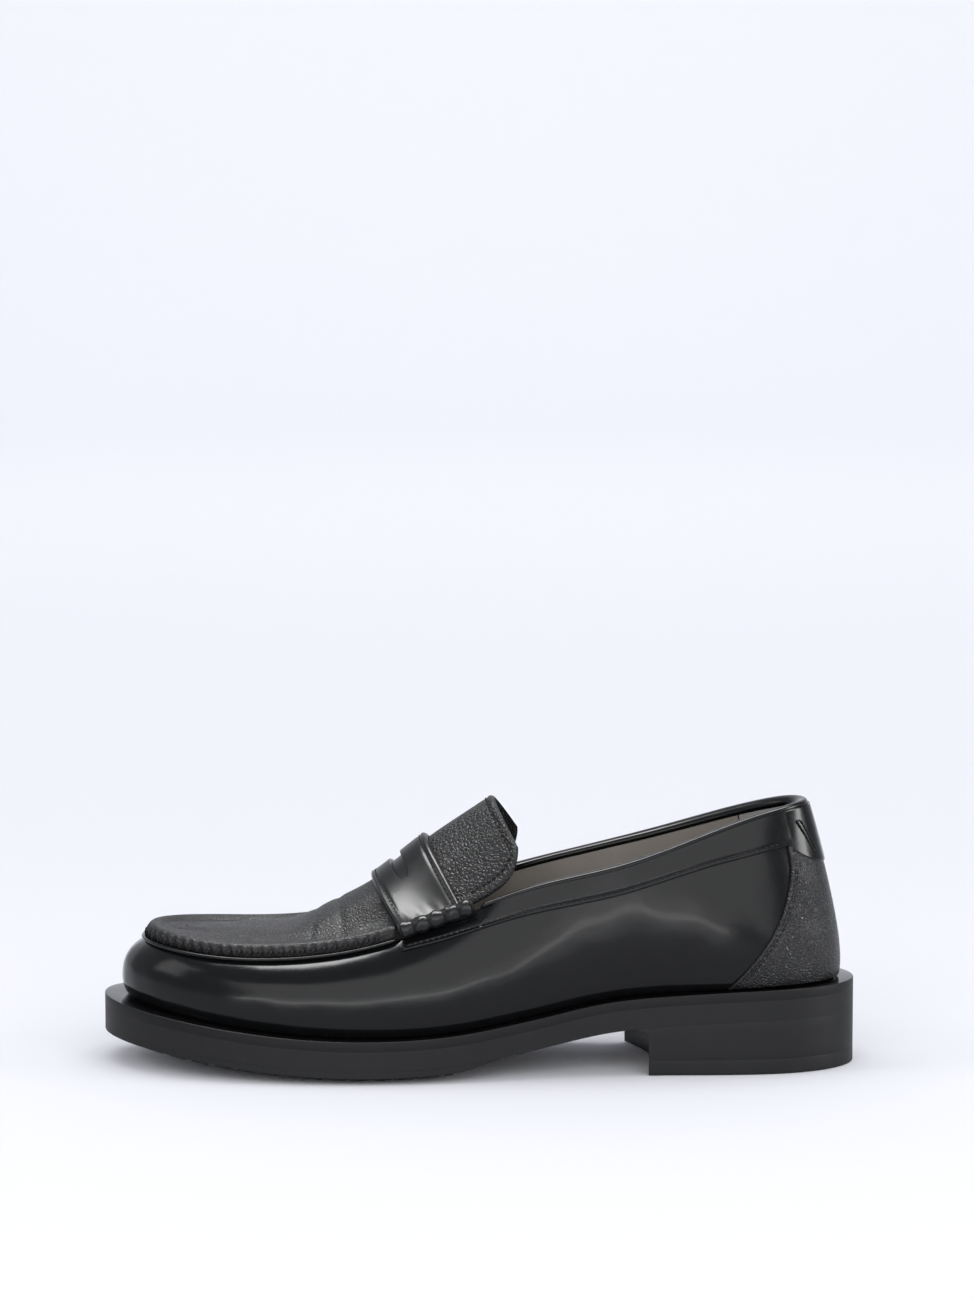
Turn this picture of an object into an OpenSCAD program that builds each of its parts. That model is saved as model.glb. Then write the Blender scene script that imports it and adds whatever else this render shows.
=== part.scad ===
// Penny loafer, left foot. Toe towards -X, heel towards +X, outer side of the foot
// towards -Y, upwards +Z. The origin is on the ground below the middle of the sole.
// Every leather layer is an offset of one of three surfaces: the wall, which rises
// from the welt all round, the instep, which spans it, and the apron's rolled edge.

/* [Shoe] */
// Length of the sole from toe to heel
shoe_length = 298; // [290:1:306]
// Width of the sole across the ball of the foot
ball_width = 108; // [105:1:111]

/* [Sole] */
// Thickness of the welt
welt_t = 4; // [3:0.5:4.5]
// Width of the welt ring
welt_ring = 12; // [10:1:14]
// Thickness of the midsole
midsole_t = 8; // [7:0.5:8.5]
// Thickness of the rubber outsole under the forepart
outsole_t = 2.4; // [1.5:0.1:2.4]
// Height of the ribbed tread under the outsole
tread_t = 2.4; // [1.5:0.1:2.4]
// Distance from one tread groove to the next
tread_pitch = 9; // [7:1:12]
// Thickness of the heel's top piece, the layer that meets the ground
top_piece_t = 6; // [4:0.5:8]
// Diameter of a heel nail
nail_d = 2.4; // [2:0.1:3]

/* [Inside] */
// Thickness of the insole board
insole_t = 2.5; // [2:0.1:3]
// Thickness of the leather sock over the insole
sock_t = 0.9; // [0.7:0.1:1.1]
// Thickness of the soft pad under the heel
heel_pad_t = 1.5; // [1:0.1:2]
// Width of the steel shank
shank_w = 15; // [12:1:18]

/* [Upper] */
// Thickness of the upper leather
leather_t = 1.5; // [1.3:0.1:1.6]
// Thickness of the stiffeners in the toe and the heel
stiffener_t = 1.1; // [0.9:0.1:1.1]
// Thickness of the lining leather
lining_t = 0.9; // [0.7:0.1:1]
// Thickness of a leather piece sewn on top of another
overlay_t = 1.1; // [0.9:0.1:1.2]
// Air between two layers
layer_gap = 0.1; // [0.1:0.05:0.15]
// Width of the lip that stands out below the apron seam
lip_w = 2.4; // [1.5:0.1:3]
// Distance from one hand-sewn apron stitch to the next
apron_stitch_pitch = 4.2; // [3.5:0.1:6]
// Thickness of a row of machine sewing
thread_t = 0.5; // [0.4:0.1:0.6]

/* [Strap and tongue] */
// Where the strap's front edge crosses the crest
strap_front = -41.8; // [-43:0.1:-41]
// Where the strap's rear edge crosses the crest
strap_rear = -20; // [-21:0.1:-19.8]
// Thickness of the saddle strap with its folded edges
strap_t = 2; // [1.6:0.1:2.2]
// Half the length of the coin slot, measured across the foot
slot_half = 17.5; // [16:0.5:22]
// Radius of the sewn roll at each end of the strap
roll_r = 3.4; // [3:0.1:3.6]
// Number of lobes that the stitches draw into each roll
roll_lobes = 5; // [4:1:6]
// Where the free edge of the tongue crosses the crest
tongue_end = 5.2; // [2:0.1:7]

/* [Hidden] */

// The shoe that the outline points below describe, and the scale from it to this one
drawn_length = 298;
drawn_width = 108;
size_xyz = [shoe_length / drawn_length, ball_width / drawn_width, 1];

// Stations run round the shoe: 0 at the back of the heel, 6 at the outer waist of the
// instep, 12 at the toe, 18 on the inner side, 24 at the heel again.
stations = 24;
toe = 12;
// Edge of the sole seen from above, at each station
SOLE = [[149, 0, 0], [142, -19, 0], [122, -31.5, 0], [93, -35, 0], [60, -36, 0], [25, -41.5, 0],
    [-8, -50, 0], [-42, -54, 0], [-76, -52, 0], [-107, -44, 0], [-131, -30, 0], [-145, -13, 0],
    [-149, 3, 0], [-146, 18, 0], [-134, 33, 0], [-112, 45, 0], [-84, 52, 0], [-52, 54, 0],
    [-20, 48, 0], [12, 37, 0], [46, 31, 0], [80, 32, 0], [114, 32, 0], [139, 21, 0]];
// Upper edge of the wall: the apron seam in front and the topline behind
TOP = [[128.5, 0, 103], [124, -11, 102.5], [107, -20, 99], [84, -28, 91.5], [55, -33, 81.5],
    [24, -35, 75], [-6, -35.5, 64], [-38, -38.5, 52], [-72, -37.5, 46.5], [-101, -32.5, 46],
    [-120.2, -22, 47.5], [-129.7, -9, 48.5], [-131.5, 3, 48.5], [-129.7, 14, 48], [-121.2, 26, 47],
    [-104, 36, 45.5], [-79, 39.5, 45], [-52, 39.5, 48.5], [-20, 37, 59], [6, 34.5, 69],
    [38, 33, 77.5], [70, 31, 86], [100, 22.5, 96], [122, 13, 102.2]];
// Distance from the sole's edge to the foot of the wall
FEATHER = [7.8, 7.2, 6, 5, 5, 5, 5, 5.5, 6.2, 7, 8, 8.6, 8.8, 8.6, 8, 7, 6.2, 5.5, 5, 5, 5, 5,
    6, 7.2];
// How late the wall leans inwards: 1 is evenly, 5 is only near its top
LEAN = [1, 1, 1, 1.2, 1.6, 2, 3, 4, 5, 5, 5, 5, 5, 5, 5, 5, 5, 4, 3, 2, 1.6, 1.2, 1, 1];
// How far the wall swells out above its foot
SWELL = [3.2, 3.8, 4.3, 4.6, 4.4, 4, 3, 2, 1.6, 1.6, 1.6, 1.6, 1.6, 1.6, 1.6, 1.6, 1.6, 2, 3, 4, 4.4,
    4.6, 4.3, 3.8];
// Height of the welt's upper face along the shoe
WELT_Z = [[-150, 26.5], [-130, 24], [-100, 20.3], [-70, 17.6], [-40, 16.83], [-10, 18.3], [20, 23],
    [50, 29], [75, 31.3], [110, 33], [150, 33.5]];
// Height of the instep's crest along the shoe
CREST_Z = [[-140, 49], [-110, 50], [-90, 51], [-75, 54], [-60, 62], [-42, 71.6], [-20, 88.8],
    [0, 102.3], [10, 109]];
// How far the instep falls away at the sides
SIDE_DROP = [[-140, 0], [-90, 0], [-75, 3], [-60, 8], [-42, 12.5], [-20, 25], [10, 26]];
// How far a line across the instep is swept back at the sides
SIDE_SWEEP = [[-140, 0], [-90, 0], [-60, 3], [-42, 9], [-20, 15], [10, 15.5]];
instep_half = 34;
instep_power = 1.8;
// Where the top of the swell lies on the wall, as its own scale
swell_norm = 0.385;

function mixed(a, b, f) = a + (b - a) * f;
function limited(v, low, high) = max(low, min(high, v));
function eased(v) = let (f = limited(v, 0, 1)) f * f * (3 - 2 * f);
function unit(v) = v / norm(v);

// Smooth closed curve that passes within a hair of its points
function knots(p) = let (n = len(p))
    [for (i = [0:n - 1]) (8 * p[i] - p[(i + n - 1) % n] - p[(i + 1) % n]) / 6];
function round_curve(k, u) = let (
        n = len(k), v = (u % n + n) % n, i = floor(v), f = v - i, g = 1 - f)
    (k[(i + n - 1) % n] * g * g * g + k[i] * (3 * f * f * f - 6 * f * f + 4)
        + k[(i + 1) % n] * (3 * g * g * g - 6 * g * g + 4) + k[(i + 2) % n] * f * f * f) / 6;

// Smooth curve of a value over a table of [place, value]
function step_of(t, x, i = 0) = (i >= len(t) - 2 || x < t[i + 1][0]) ? i : step_of(t, x, i + 1);
function slope_at(t, i) = let (a = max(i - 1, 0), b = min(i + 1, len(t) - 1))
    (t[b][1] - t[a][1]) / (t[b][0] - t[a][0]);
function table(t, x) = let (i = step_of(t, x), h = t[i + 1][0] - t[i][0],
        f = limited((x - t[i][0]) / h, 0, 1), g = 1 - f)
    t[i][1] * g * g * (1 + 2 * f) + t[i + 1][1] * f * f * (1 + 2 * g)
        + h * f * g * (slope_at(t, i) * g - slope_at(t, i + 1) * f);

SOLE_K = knots([for (p = SOLE) [p[0] * size_xyz[0], p[1] * size_xyz[1], 0]]);
TOP_K = knots([for (p = TOP) [p[0] * size_xyz[0], p[1] * size_xyz[1], p[2]]]);
FEATHER_K = knots(FEATHER);
LEAN_K = knots(LEAN);
SWELL_K = knots(SWELL);

// Direction out of the sole's edge at station u
function outward(u) = let (d = round_curve(SOLE_K, u + 0.01) - round_curve(SOLE_K, u - 0.01))
    unit([-d[1], d[0], 0]);
function sole_edge(u, inset) = round_curve(SOLE_K, u) - inset * outward(u);
function welt_z(x) = table(WELT_Z, x / size_xyz[0]);

// Wall of the upper: t is 0 at the welt and 1 at the upper edge
function wall_point(u, t) = let (
        n = outward(u),
        foot = round_curve(SOLE_K, u) - n * round_curve(FEATHER_K, u),
        top = round_curve(TOP_K, u),
        foot_z = welt_z(foot[0]) + layer_gap,
        lean = pow(t, round_curve(LEAN_K, u)),
        swell = round_curve(SWELL_K, u) * sqrt(t) * (1 - t) / swell_norm,
        p = mixed(foot, top, lean) + n * swell)
    [p[0], p[1], mixed(foot_z, top[2], t)];
function wall_normal(u, t) = let (
        v = limited(t, 0.16, 0.97),
        along = wall_point(u + 0.02, v) - wall_point(u - 0.02, v),
        up = wall_point(u, v + 0.02) - wall_point(u, v - 0.02))
    unit(cross(up, along));
function wall(u, t, off) = wall_point(u, t) + off * wall_normal(u, t);
// The t at which the wall at station u reaches height z
function wall_t(u, z) = let (low = wall_point(u, 0)[2], high = wall_point(u, 1)[2])
    limited((z - low) / (high - low), 0, 1);

// Instep: a line across the foot starts on the crest at x and is swept back and down
function instep_point(x, y) = let (w = pow(abs(y) / size_xyz[1] / instep_half, instep_power),
        c = x / size_xyz[0])
    [x + table(SIDE_SWEEP, c) * w, y, table(CREST_Z, c) - table(SIDE_DROP, c) * w];
function instep(x, y, off) = let (
        across = instep_point(x, y + 0.1) - instep_point(x, y - 0.1),
        along = instep_point(x + 0.1, y) - instep_point(x - 0.1, y))
    instep_point(x, y) + off * unit(cross(along, across));
// Height of the instep above a point of the plan
function instep_z(x, y) = let (w = pow(abs(y) / size_xyz[1] / instep_half, instep_power),
        a = x - table(SIDE_SWEEP, x / size_xyz[0]) * w,
        b = x - table(SIDE_SWEEP, a / size_xyz[0]) * w,
        c = (x - table(SIDE_SWEEP, b / size_xyz[0]) * w) / size_xyz[0])
    table(CREST_Z, c) - table(SIDE_DROP, c) * w;

function range(a, b, n) = [for (i = [0:n]) mixed(a, b, i / n)];

// Closed sheet between two grids of points. Its first and last lines join where wrap is
// set, its first line is folded in half where fold is set, and the cells in hole, given
// as [first line, last line, first row, last row], are left out.
module sheet(outer, inner, wrap = false, fold = false, hole = [0, 0, 0, 0]) {
    ni = len(outer);
    nj = len(outer[0]);
    last = wrap ? ni - 1 : ni - 2;
    function id(side, i, j) = side * ni * nj + ((i + ni) % ni) * nj
        + ((fold && i == 0) ? min(j, nj - 1 - j) : j);
    function kept(i, j) = (wrap || (i >= 0 && i <= ni - 2)) && j >= 0 && j <= nj - 2
        && !(i >= hole[0] && i < hole[1] && j >= hole[2] && j < hole[3]);
    function quad(a, b, c, d) = [[a, b, c], [a, c, d]];
    faces = [for (i = [0:last], j = [0:nj - 2]) if (kept(i, j)) each concat(
        quad(id(0, i, j), id(0, i + 1, j), id(0, i + 1, j + 1), id(0, i, j + 1)),
        quad(id(1, i, j), id(1, i, j + 1), id(1, i + 1, j + 1), id(1, i + 1, j)),
        (kept(i - 1, j) || (fold && i == 0)) ? []
            : quad(id(0, i, j), id(0, i, j + 1), id(1, i, j + 1), id(1, i, j)),
        kept(i + 1, j) ? []
            : quad(id(0, i + 1, j), id(1, i + 1, j), id(1, i + 1, j + 1), id(0, i + 1, j + 1)),
        kept(i, j - 1) ? []
            : quad(id(0, i, j), id(1, i, j), id(1, i + 1, j), id(0, i + 1, j)),
        kept(i, j + 1) ? []
            : quad(id(0, i, j + 1), id(0, i + 1, j + 1), id(1, i + 1, j + 1), id(1, i, j + 1)))];
    polyhedron([for (g = [outer, inner], line = g, p = line) p], faces);
}

// Patch of the wall between two stations. low and high give the t of its lower and
// upper edge at a station, and the patch lies between two offsets. Every patch breaks
// at the same stations, so that layers on top of each other nest.
station_step = 0.25;
function columns(from, to) = concat([from], [for (k = [floor(from / station_step) + 1:ceil(to / station_step) - 1])
    k * station_step], [to]);
module wall_patch(from, to, rows, low, high, inside, outside) {
    function grid(off) = [for (u = columns(from, to))
        [for (f = range(0, 1, rows)) wall(u, mixed(low(u), high(u), f), off)]];
    sheet(grid(outside), grid(inside));
}
// The same between two fixed t, with its rows at those of the vamp
module wall_layer(from, to, low, high, inside, outside) {
    ts = concat([low], [for (t = VAMP_ROWS) if (t > low && t < high) t], [high]);
    function grid(off) = [for (u = columns(from, to)) [for (t = ts) wall(u, t, off)]];
    sheet(grid(outside), grid(inside));
}

// Side profile of a layer of the bottom: it hangs below the welt's upper face by upper
// at its top and by lower at its underside, each given as a function of x
module bottom_layer(x_from, x_to, upper, lower) {
    xs = range(x_from, x_to, profile_steps);
    points = concat([for (x = xs) [x, welt_z(x) - upper(x)]],
        [for (i = [len(xs) - 1:-1:0]) [xs[i], welt_z(xs[i]) - lower(xs[i])]]);
    translate([0, sole_reach, 0]) rotate([90, 0, 0]) linear_extrude(2 * sole_reach) polygon(points);
}
// Plan of the bottom, drawn in from the sole's edge by inset, a function of the station
module plan(height, inset) {
    linear_extrude(height) polygon([for (i = [0:plan_steps - 1])
        let (u = i * stations / plan_steps, p = sole_edge(u, inset(u))) [p[0], p[1]]]);
}
// Everything behind the heel's hollow front face
module heel_side() {
    difference() {
        translate([breast_x, -sole_reach, 0]) cube([sole_reach * 2, sole_reach * 2, sole_top]);
        translate([breast_centre[0], breast_centre[1], -1]) cylinder(h = sole_top + 2, r = breast_r, $fn = 96);
    }
}
module nail_places() {
    for (p = NAILS) translate([p[0] * size_xyz[0], p[1], 0]) children();
}

sole_reach = 75;
// Half length that every layer's side profile is drawn to
sole_end = 152;
profile_steps = 44;
// How far each layer's side stands in from the sole's edge
welt_inset = 1.2;
midsole_inset = 0.6;
outsole_inset = 0.2;
heel_inset = 0.3;
tread_inset = 7;
pad_front = 62;
sole_top = 50;
plan_steps = 96;
bottom_t = welt_t + midsole_t;
breast_x = 50;
breast_r = 90;
breast_centre = [-20.4 * size_xyz[0], -12];
tread_rear = -10;
tread_front = -142;
groove_w = 2.5;
groove_depth = 1.4;
// Thickness of the cement between two layers of the bottom
bond = 0.08;
ramp_front = -7;
ramp_rear = 9;
NAILS = [[84, -16], [84, 16], [112, -16], [112, 16], [130, 0]];
shank_from = 6;
shank_to = 96;
shank_t = 1.4;

module welt() {
    color([0.04, 0.04, 0.045]) intersection() {
        bottom_layer(-sole_end, sole_end, function(x) 0, function(x) welt_t);
        difference() {
            plan(sole_top, function(u) welt_inset);
            plan(sole_top, function(u) welt_inset + welt_ring);
        }
    }
}

module cork_filler() {
    color([0.45, 0.3, 0.18]) difference() {
        intersection() {
            bottom_layer(-sole_end, sole_end, function(x) 0.1, function(x) welt_t);
            plan(sole_top, function(u) welt_inset + layer_gap + welt_ring);
        }
        translate([shank_from - 1, -shank_w / 2 - 1, 0]) cube([shank_to - shank_from + 2, shank_w + 2, sole_top]);
    }
}

module shank() {
    color([0.6, 0.6, 0.62]) intersection() {
        bottom_layer(shank_from, shank_to, function(x) 0.4, function(x) 0.4 + shank_t);
        translate([0, -shank_w / 2, 0]) cube([sole_reach * 2, shank_w, sole_top]);
    }
}

module midsole() {
    color([0.035, 0.035, 0.04]) difference() {
        intersection() {
            bottom_layer(-sole_end, sole_end, function(x) welt_t, function(x) bottom_t);
            plan(sole_top, function(u) midsole_inset);
        }
        nail_places() cylinder(h = sole_top, d = nail_d + 0.1, $fn = 24);
    }
}

module outsole() {
    color([0.03, 0.03, 0.035]) intersection() {
        bottom_layer(-sole_end, ramp_rear, function(x) bottom_t + bond,
            function(x) bottom_t + outsole_t * limited((ramp_rear + 1 - x) / (ramp_rear - ramp_front), 0.05, 1));
        plan(sole_top, function(u) outsole_inset);
    }
}

module forepart_tread() {
    under = bottom_t + outsole_t;
    color([0.03, 0.03, 0.035]) difference() {
        intersection() {
            bottom_layer(tread_front, tread_rear, function(x) under + bond, function(x) under + tread_t);
            plan(sole_top, function(u) tread_inset);
        }
        for (x = [tread_front + tread_pitch:tread_pitch:tread_rear - groove_w])
            translate([x, -sole_reach, welt_z(x) - under - tread_t - 2])
                cube([groove_w, 2 * sole_reach, groove_depth + 2]);
    }
}

module heel_block() {
    color([0.035, 0.035, 0.04]) difference() {
        intersection() {
            bottom_layer(breast_x, sole_end, function(x) bottom_t + bond, function(x) welt_z(x) - top_piece_t);
            plan(sole_top, function(u) heel_inset);
            heel_side();
        }
        nail_places() translate([0, 0, top_piece_t + 3]) cylinder(h = sole_top, d = nail_d + 0.1, $fn = 24);
    }
}

module heel_top_piece() {
    color([0.025, 0.025, 0.03]) intersection() {
        plan(top_piece_t, function(u) 0);
        heel_side();
    }
}

module heel_nails() {
    color([0.6, 0.6, 0.62]) nail_places()
        translate([0, 0, top_piece_t + 3.2]) cylinder(h = welt_z(100) - welt_t - top_piece_t - 4.4, d = nail_d, $fn = 24);
}

// Inner face of the upper where it stands on the welt
function inner_inset(u) = round_curve(FEATHER_K, u) + leather_t + stiffener_t + lining_t + 0.8;

module insole_board() {
    color([0.55, 0.42, 0.28]) intersection() {
        bottom_layer(-sole_end, sole_end, function(x) -0.1, function(x) -0.1 - insole_t);
        plan(sole_top, function(u) inner_inset(u));
    }
}

module sock_lining() {
    base = insole_t + 0.2;
    color([0.42, 0.37, 0.32]) intersection() {
        bottom_layer(-sole_end, sole_end, function(x) -base - sock_t, function(x) -base);
        plan(sole_top, function(u) inner_inset(u) + 0.4);
    }
}

module heel_pad() {
    base = insole_t + sock_t + 0.3;
    color([0.36, 0.32, 0.28]) intersection() {
        bottom_layer(pad_front, sole_end, function(x) -base - heel_pad_t, function(x) -base);
        plan(sole_top, function(u) inner_inset(u) + 3);
    }
}

// How much of the apron's raised ridge there is at x: all in front, none under the strap
function ridge_part(x) = eased((ridge_end - x / size_xyz[0]) / ridge_fade);
ridge_end = -28;
ridge_fade = 7;
lip_t = 1.2;
VAMP_ROWS = [0, 0.04, 0.14, 0.3, 0.5, 0.7, 0.85, 0.94, 1];
layer_foot = VAMP_ROWS[1];

module vamp() {
    function lip(u, start, out, up) = let (part = max(ridge_part(round_curve(TOP_K, u)[0]), 0.02))
        start + outward(u) * out * part + [0, 0, up * part];
    function line(u, off, out) = concat([for (t = VAMP_ROWS) wall(u, t, off)],
        [for (up = [0.25, 1] * lip_t) lip(u, wall(u, 1, off), out, up)]);
    us = [for (u = [0:station_step:stations - station_step]) u];
    outer = [for (u = us) line(u, 0, lip_w)];
    inner = [for (u = us) line(u, -leather_t, 0)];
    color([0.03, 0.03, 0.035]) sheet(outer, inner, wrap = true);
}

stiffener_out = -leather_t - layer_gap;
lining_out = stiffener_out - stiffener_t - layer_gap;

module toe_puff() {
    color([0.6, 0.58, 0.52]) wall_layer(9.3, 14.8, layer_foot, 0.94,
        stiffener_out - stiffener_t, stiffener_out);
}

module heel_stiffener() {
    color([0.6, 0.58, 0.52]) wall_layer(-2.9, 2.9, layer_foot, 0.85,
        stiffener_out - stiffener_t, stiffener_out);
}

module lining_patch(from, to) {
    wall_layer(from, to, layer_foot, 0.97, lining_out - lining_t, lining_out);
}
module vamp_lining() {
    color([0.3, 0.27, 0.24]) lining_patch(6.01, 18.59);
}
module quarter_lining_lateral() {
    color([0.5, 0.45, 0.4]) lining_patch(1.86, 5.99);
}
module quarter_lining_medial() {
    color([0.5, 0.45, 0.4]) lining_patch(18.61, 22.14);
}
module heel_grip_lining() {
    color([0.6, 0.57, 0.53]) lining_patch(-1.84, 1.84);
}

// Section of the apron's rolled edge: [out, up] from the seam, from its foot over the
// ridge to the valley behind it
RIDGE = [[-0.1, 0], [0.1, 2.4], [-0.9, 4], [-2.4, 4.8], [-4.4, 4.3], [-7, 2.9]];
ridge_foot = 1.4;
// How far the apron's edge is tucked inside the wall's top under the strap
tuck_depth = 6;
apron_columns = 30;
apron_inner_rows = 4;
apron_from = 6.18;
apron_to = 18.42;
spine_front = -116;
spine_rear = -27;

function apron_half(u, spine_x) = let (
        n = outward(u),
        top = round_curve(TOP_K, u),
        part = ridge_part(top[0]),
        tuck = tuck_depth * eased((top[0] / size_xyz[0] + 38) / 10),
        edge = [for (q = RIDGE) let (p = top + n * (q[0] * max(part, 0.3) - tuck))
            [p[0], p[1], mixed(instep_z(p[0], p[1]), top[2] + ridge_foot + q[1], part)]],
        valley = edge[len(edge) - 1])
    concat(edge, [for (i = [1:apron_inner_rows])
        let (f = i / apron_inner_rows, p = mixed(valley, [spine_x, 0, 0], f))
        [p[0], p[1], mixed(valley[2], instep_z(p[0], p[1]), eased(f * 2))]]);
function reversed(v) = [for (i = [len(v) - 1:-1:0]) v[i]];
function apron_grid() = [for (s = range(0, 1, apron_columns)) let (
        x = mixed(spine_front, spine_rear, s) * size_xyz[0],
        medial = apron_half(mixed(toe, apron_to, s), x),
        lateral = apron_half(mixed(toe, apron_from, s), x))
    concat(medial, [for (i = [len(lateral) - 2:-1:0]) lateral[i]])];

// Grid moved along its own normals. Its first line is folded in half.
function moved(g, off) = let (ni = len(g), nj = len(g[0]))
    [for (i = [0:ni - 1]) [for (j = [0:nj - 1]) let (
        back = i == 0 ? g[1][nj - 1 - j] : g[i - 1][j],
        along = g[min(i + 1, ni - 1)][j] - back,
        across = g[i][min(j + 1, nj - 1)] - g[i][max(j - 1, 0)],
        d = cross(across, along))
        g[i][j] + off * (norm(d) > 0.001 ? unit(d) : [0, 0, 1])]];
function rows_within(g, edge) = [for (line = g) [for (j = [edge:len(line) - 1 - edge]) line[j]]];

module apron() {
    grid = apron_grid();
    color([0.05, 0.05, 0.055]) sheet(grid, moved(grid, -leather_t), fold = true);
}

module apron_lining() {
    grid = apron_grid();
    out = -leather_t - layer_gap;
    edge = len(RIDGE) - 1;
    color([0.3, 0.27, 0.24]) sheet(rows_within(moved(grid, out), edge),
        rows_within(moved(grid, out - lining_t), edge), fold = true);
}

// Stations from u to end, a given distance apart along the wall's upper edge
function walk(u, end, pitch) = u > end ? []
    : concat([u], walk(u + pitch / norm(round_curve(TOP_K, u + 0.5) - round_curve(TOP_K, u - 0.5)), end, pitch));

module apron_stitches() {
    stitch_d = 1.1;
    stitch_l = 2.4;
    stitch_lean = 20;
    color([0.02, 0.02, 0.02]) for (u = walk(7.05, 17.4, apron_stitch_pitch)) {
        n = outward(u);
        translate(round_curve(TOP_K, u) + n * 0.95 + [0, 0, 1.7])
            rotate([0, 0, atan2(n[1], n[0])]) rotate([stitch_lean, 0, 0])
                cylinder(h = stitch_l, d = stitch_d, $fn = 8);
    }
}

strap_half = 33.5;
strap_base = 0.7;
STRAP_ROWS = [33.5, 31, 28, 24, 17.5, 13, 9, 5];
function strap_lift(y) = 1.4 * pow(abs(y) / instep_half, 8);
function strap_point(x, y, off) = instep(x * size_xyz[0], y * size_xyz[1], strap_base + strap_lift(y) + off);

module saddle_strap() {
    xs = [strap_front, -38, -34, -29.7, -25, strap_rear];
    slot_row = 4;
    half = [for (y = STRAP_ROWS) y == STRAP_ROWS[slot_row] ? slot_half : y];
    ys = concat(half, [0], [for (y = reversed(half)) -y]);
    function grid(off) = [for (x = xs) [for (y = ys) strap_point(x, y, off)]];
    color([0.03, 0.03, 0.035]) sheet(grid(strap_t), grid(0), hole = [2, 3, slot_row, len(ys) - 1 - slot_row]);
}

// Row of machine sewing: a thin flat thread along points, with the direction out at each
module thread(points, outs) {
    last = len(points) - 1;
    sides = [for (i = [0:last]) unit(cross(outs[i], points[min(i + 1, last)] - points[max(i - 1, 0)])) * thread_t / 2];
    function grid(h) = [for (i = [0:last]) [for (s = [1, -1]) points[i] + outs[i] * h + sides[i] * s]];
    sheet(grid(thread_t + 0.05), grid(0.05));
}
// Thread along the wall through [station, height] places, at an offset from it
module wall_thread(places, off) {
    thread([for (p = places) wall(p[0], wall_t(p[0], p[1]), off)],
        [for (p = places) wall_normal(p[0], wall_t(p[0], p[1]))]);
}
// Direction out of the instep
function instep_out(x, y) = unit(instep(x, y, 1) - instep(x, y, 0));

module strap_stitches() {
    sew_in = 2.2;
    clear = 0.1;
    half = [for (i = [1:len(STRAP_ROWS) - 1]) STRAP_ROWS[i]];
    ys = concat([for (y = half) -y], [0], reversed(half));
    color([0.02, 0.02, 0.02]) for (x = [strap_front + sew_in, strap_rear - sew_in])
        thread([for (y = ys) strap_point(x, y, strap_t + clear)],
            [for (y = ys) instep_out(x * size_xyz[0], y * size_xyz[1])]);
}

// Closed tube with round ends through points, with a radius at each
module tube(points, outs, radii, sides) {
    last = len(points) - 1;
    rings = [for (i = [0:last]) let (
            run = unit(points[min(i + 1, last)] - points[max(i - 1, 0)]),
            side = unit(cross(outs[i], run)),
            up = cross(run, side))
        [for (k = [0:sides - 1]) points[i] + radii[i] * (up * cos(360 * k / sides) + side * sin(360 * k / sides))]];
    polyhedron([for (r = rings, p = r) p], concat(
        [for (i = [0:last - 1], k = [0:sides - 1]) let (m = (k + 1) % sides)
            each [[i * sides + k, i * sides + m, (i + 1) * sides + m],
                [i * sides + k, (i + 1) * sides + m, (i + 1) * sides + k]]],
        [for (k = [1:sides - 2]) [0, k + 1, k]],
        [for (k = [1:sides - 2]) [last * sides, last * sides + k, last * sides + k + 1]]));
}

roll_rings = 25;
roll_gap = 0.35;
roll_t = 0.97;
roll_rise = 1.8;
roll_lateral = [6.76, 5.84];
roll_medial = [17.68, 18.8];
function roll_centre(u) = wall(u, roll_t, roll_r + roll_gap) + [0, 0, roll_rise];
function roll_radius(f) = roll_r * (0.86 + 0.14 * abs(sin(180 * f * roll_lobes)))
    * sqrt(limited(min(f, 1 - f) / 0.07, 0.15, 1));

module beef_roll(span) {
    us = range(span[0], span[1], roll_rings);
    tube([for (u = us) roll_centre(u)], [for (u = us) wall_normal(u, roll_t)],
        [for (f = range(0, 1, roll_rings)) roll_radius(f)], 8);
}
module beef_roll_lateral() {
    color([0.04, 0.04, 0.045]) beef_roll(roll_lateral);
}
module beef_roll_medial() {
    color([0.04, 0.04, 0.045]) beef_roll(roll_medial);
}

// Each stitch is a half loop over the roll, in the waist between two lobes
module beef_roll_stitches() {
    loop_r = roll_r * 0.86 + 0.12;
    color([0.02, 0.02, 0.02]) for (span = [roll_lateral, roll_medial], k = [1:roll_lobes - 1]) {
        u = mixed(span[0], span[1], k / roll_lobes);
        centre = roll_centre(u);
        out = wall_normal(u, roll_t);
        run = unit(wall(u + 0.05, roll_t, 0) - wall(u - 0.05, roll_t, 0));
        up = cross(run, out);
        turns = range(-90, 90, 8);
        outs = [for (a = turns) out * cos(a) + up * sin(a)];
        thread([for (d = outs) centre + d * loop_r], outs);
    }
}

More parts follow.
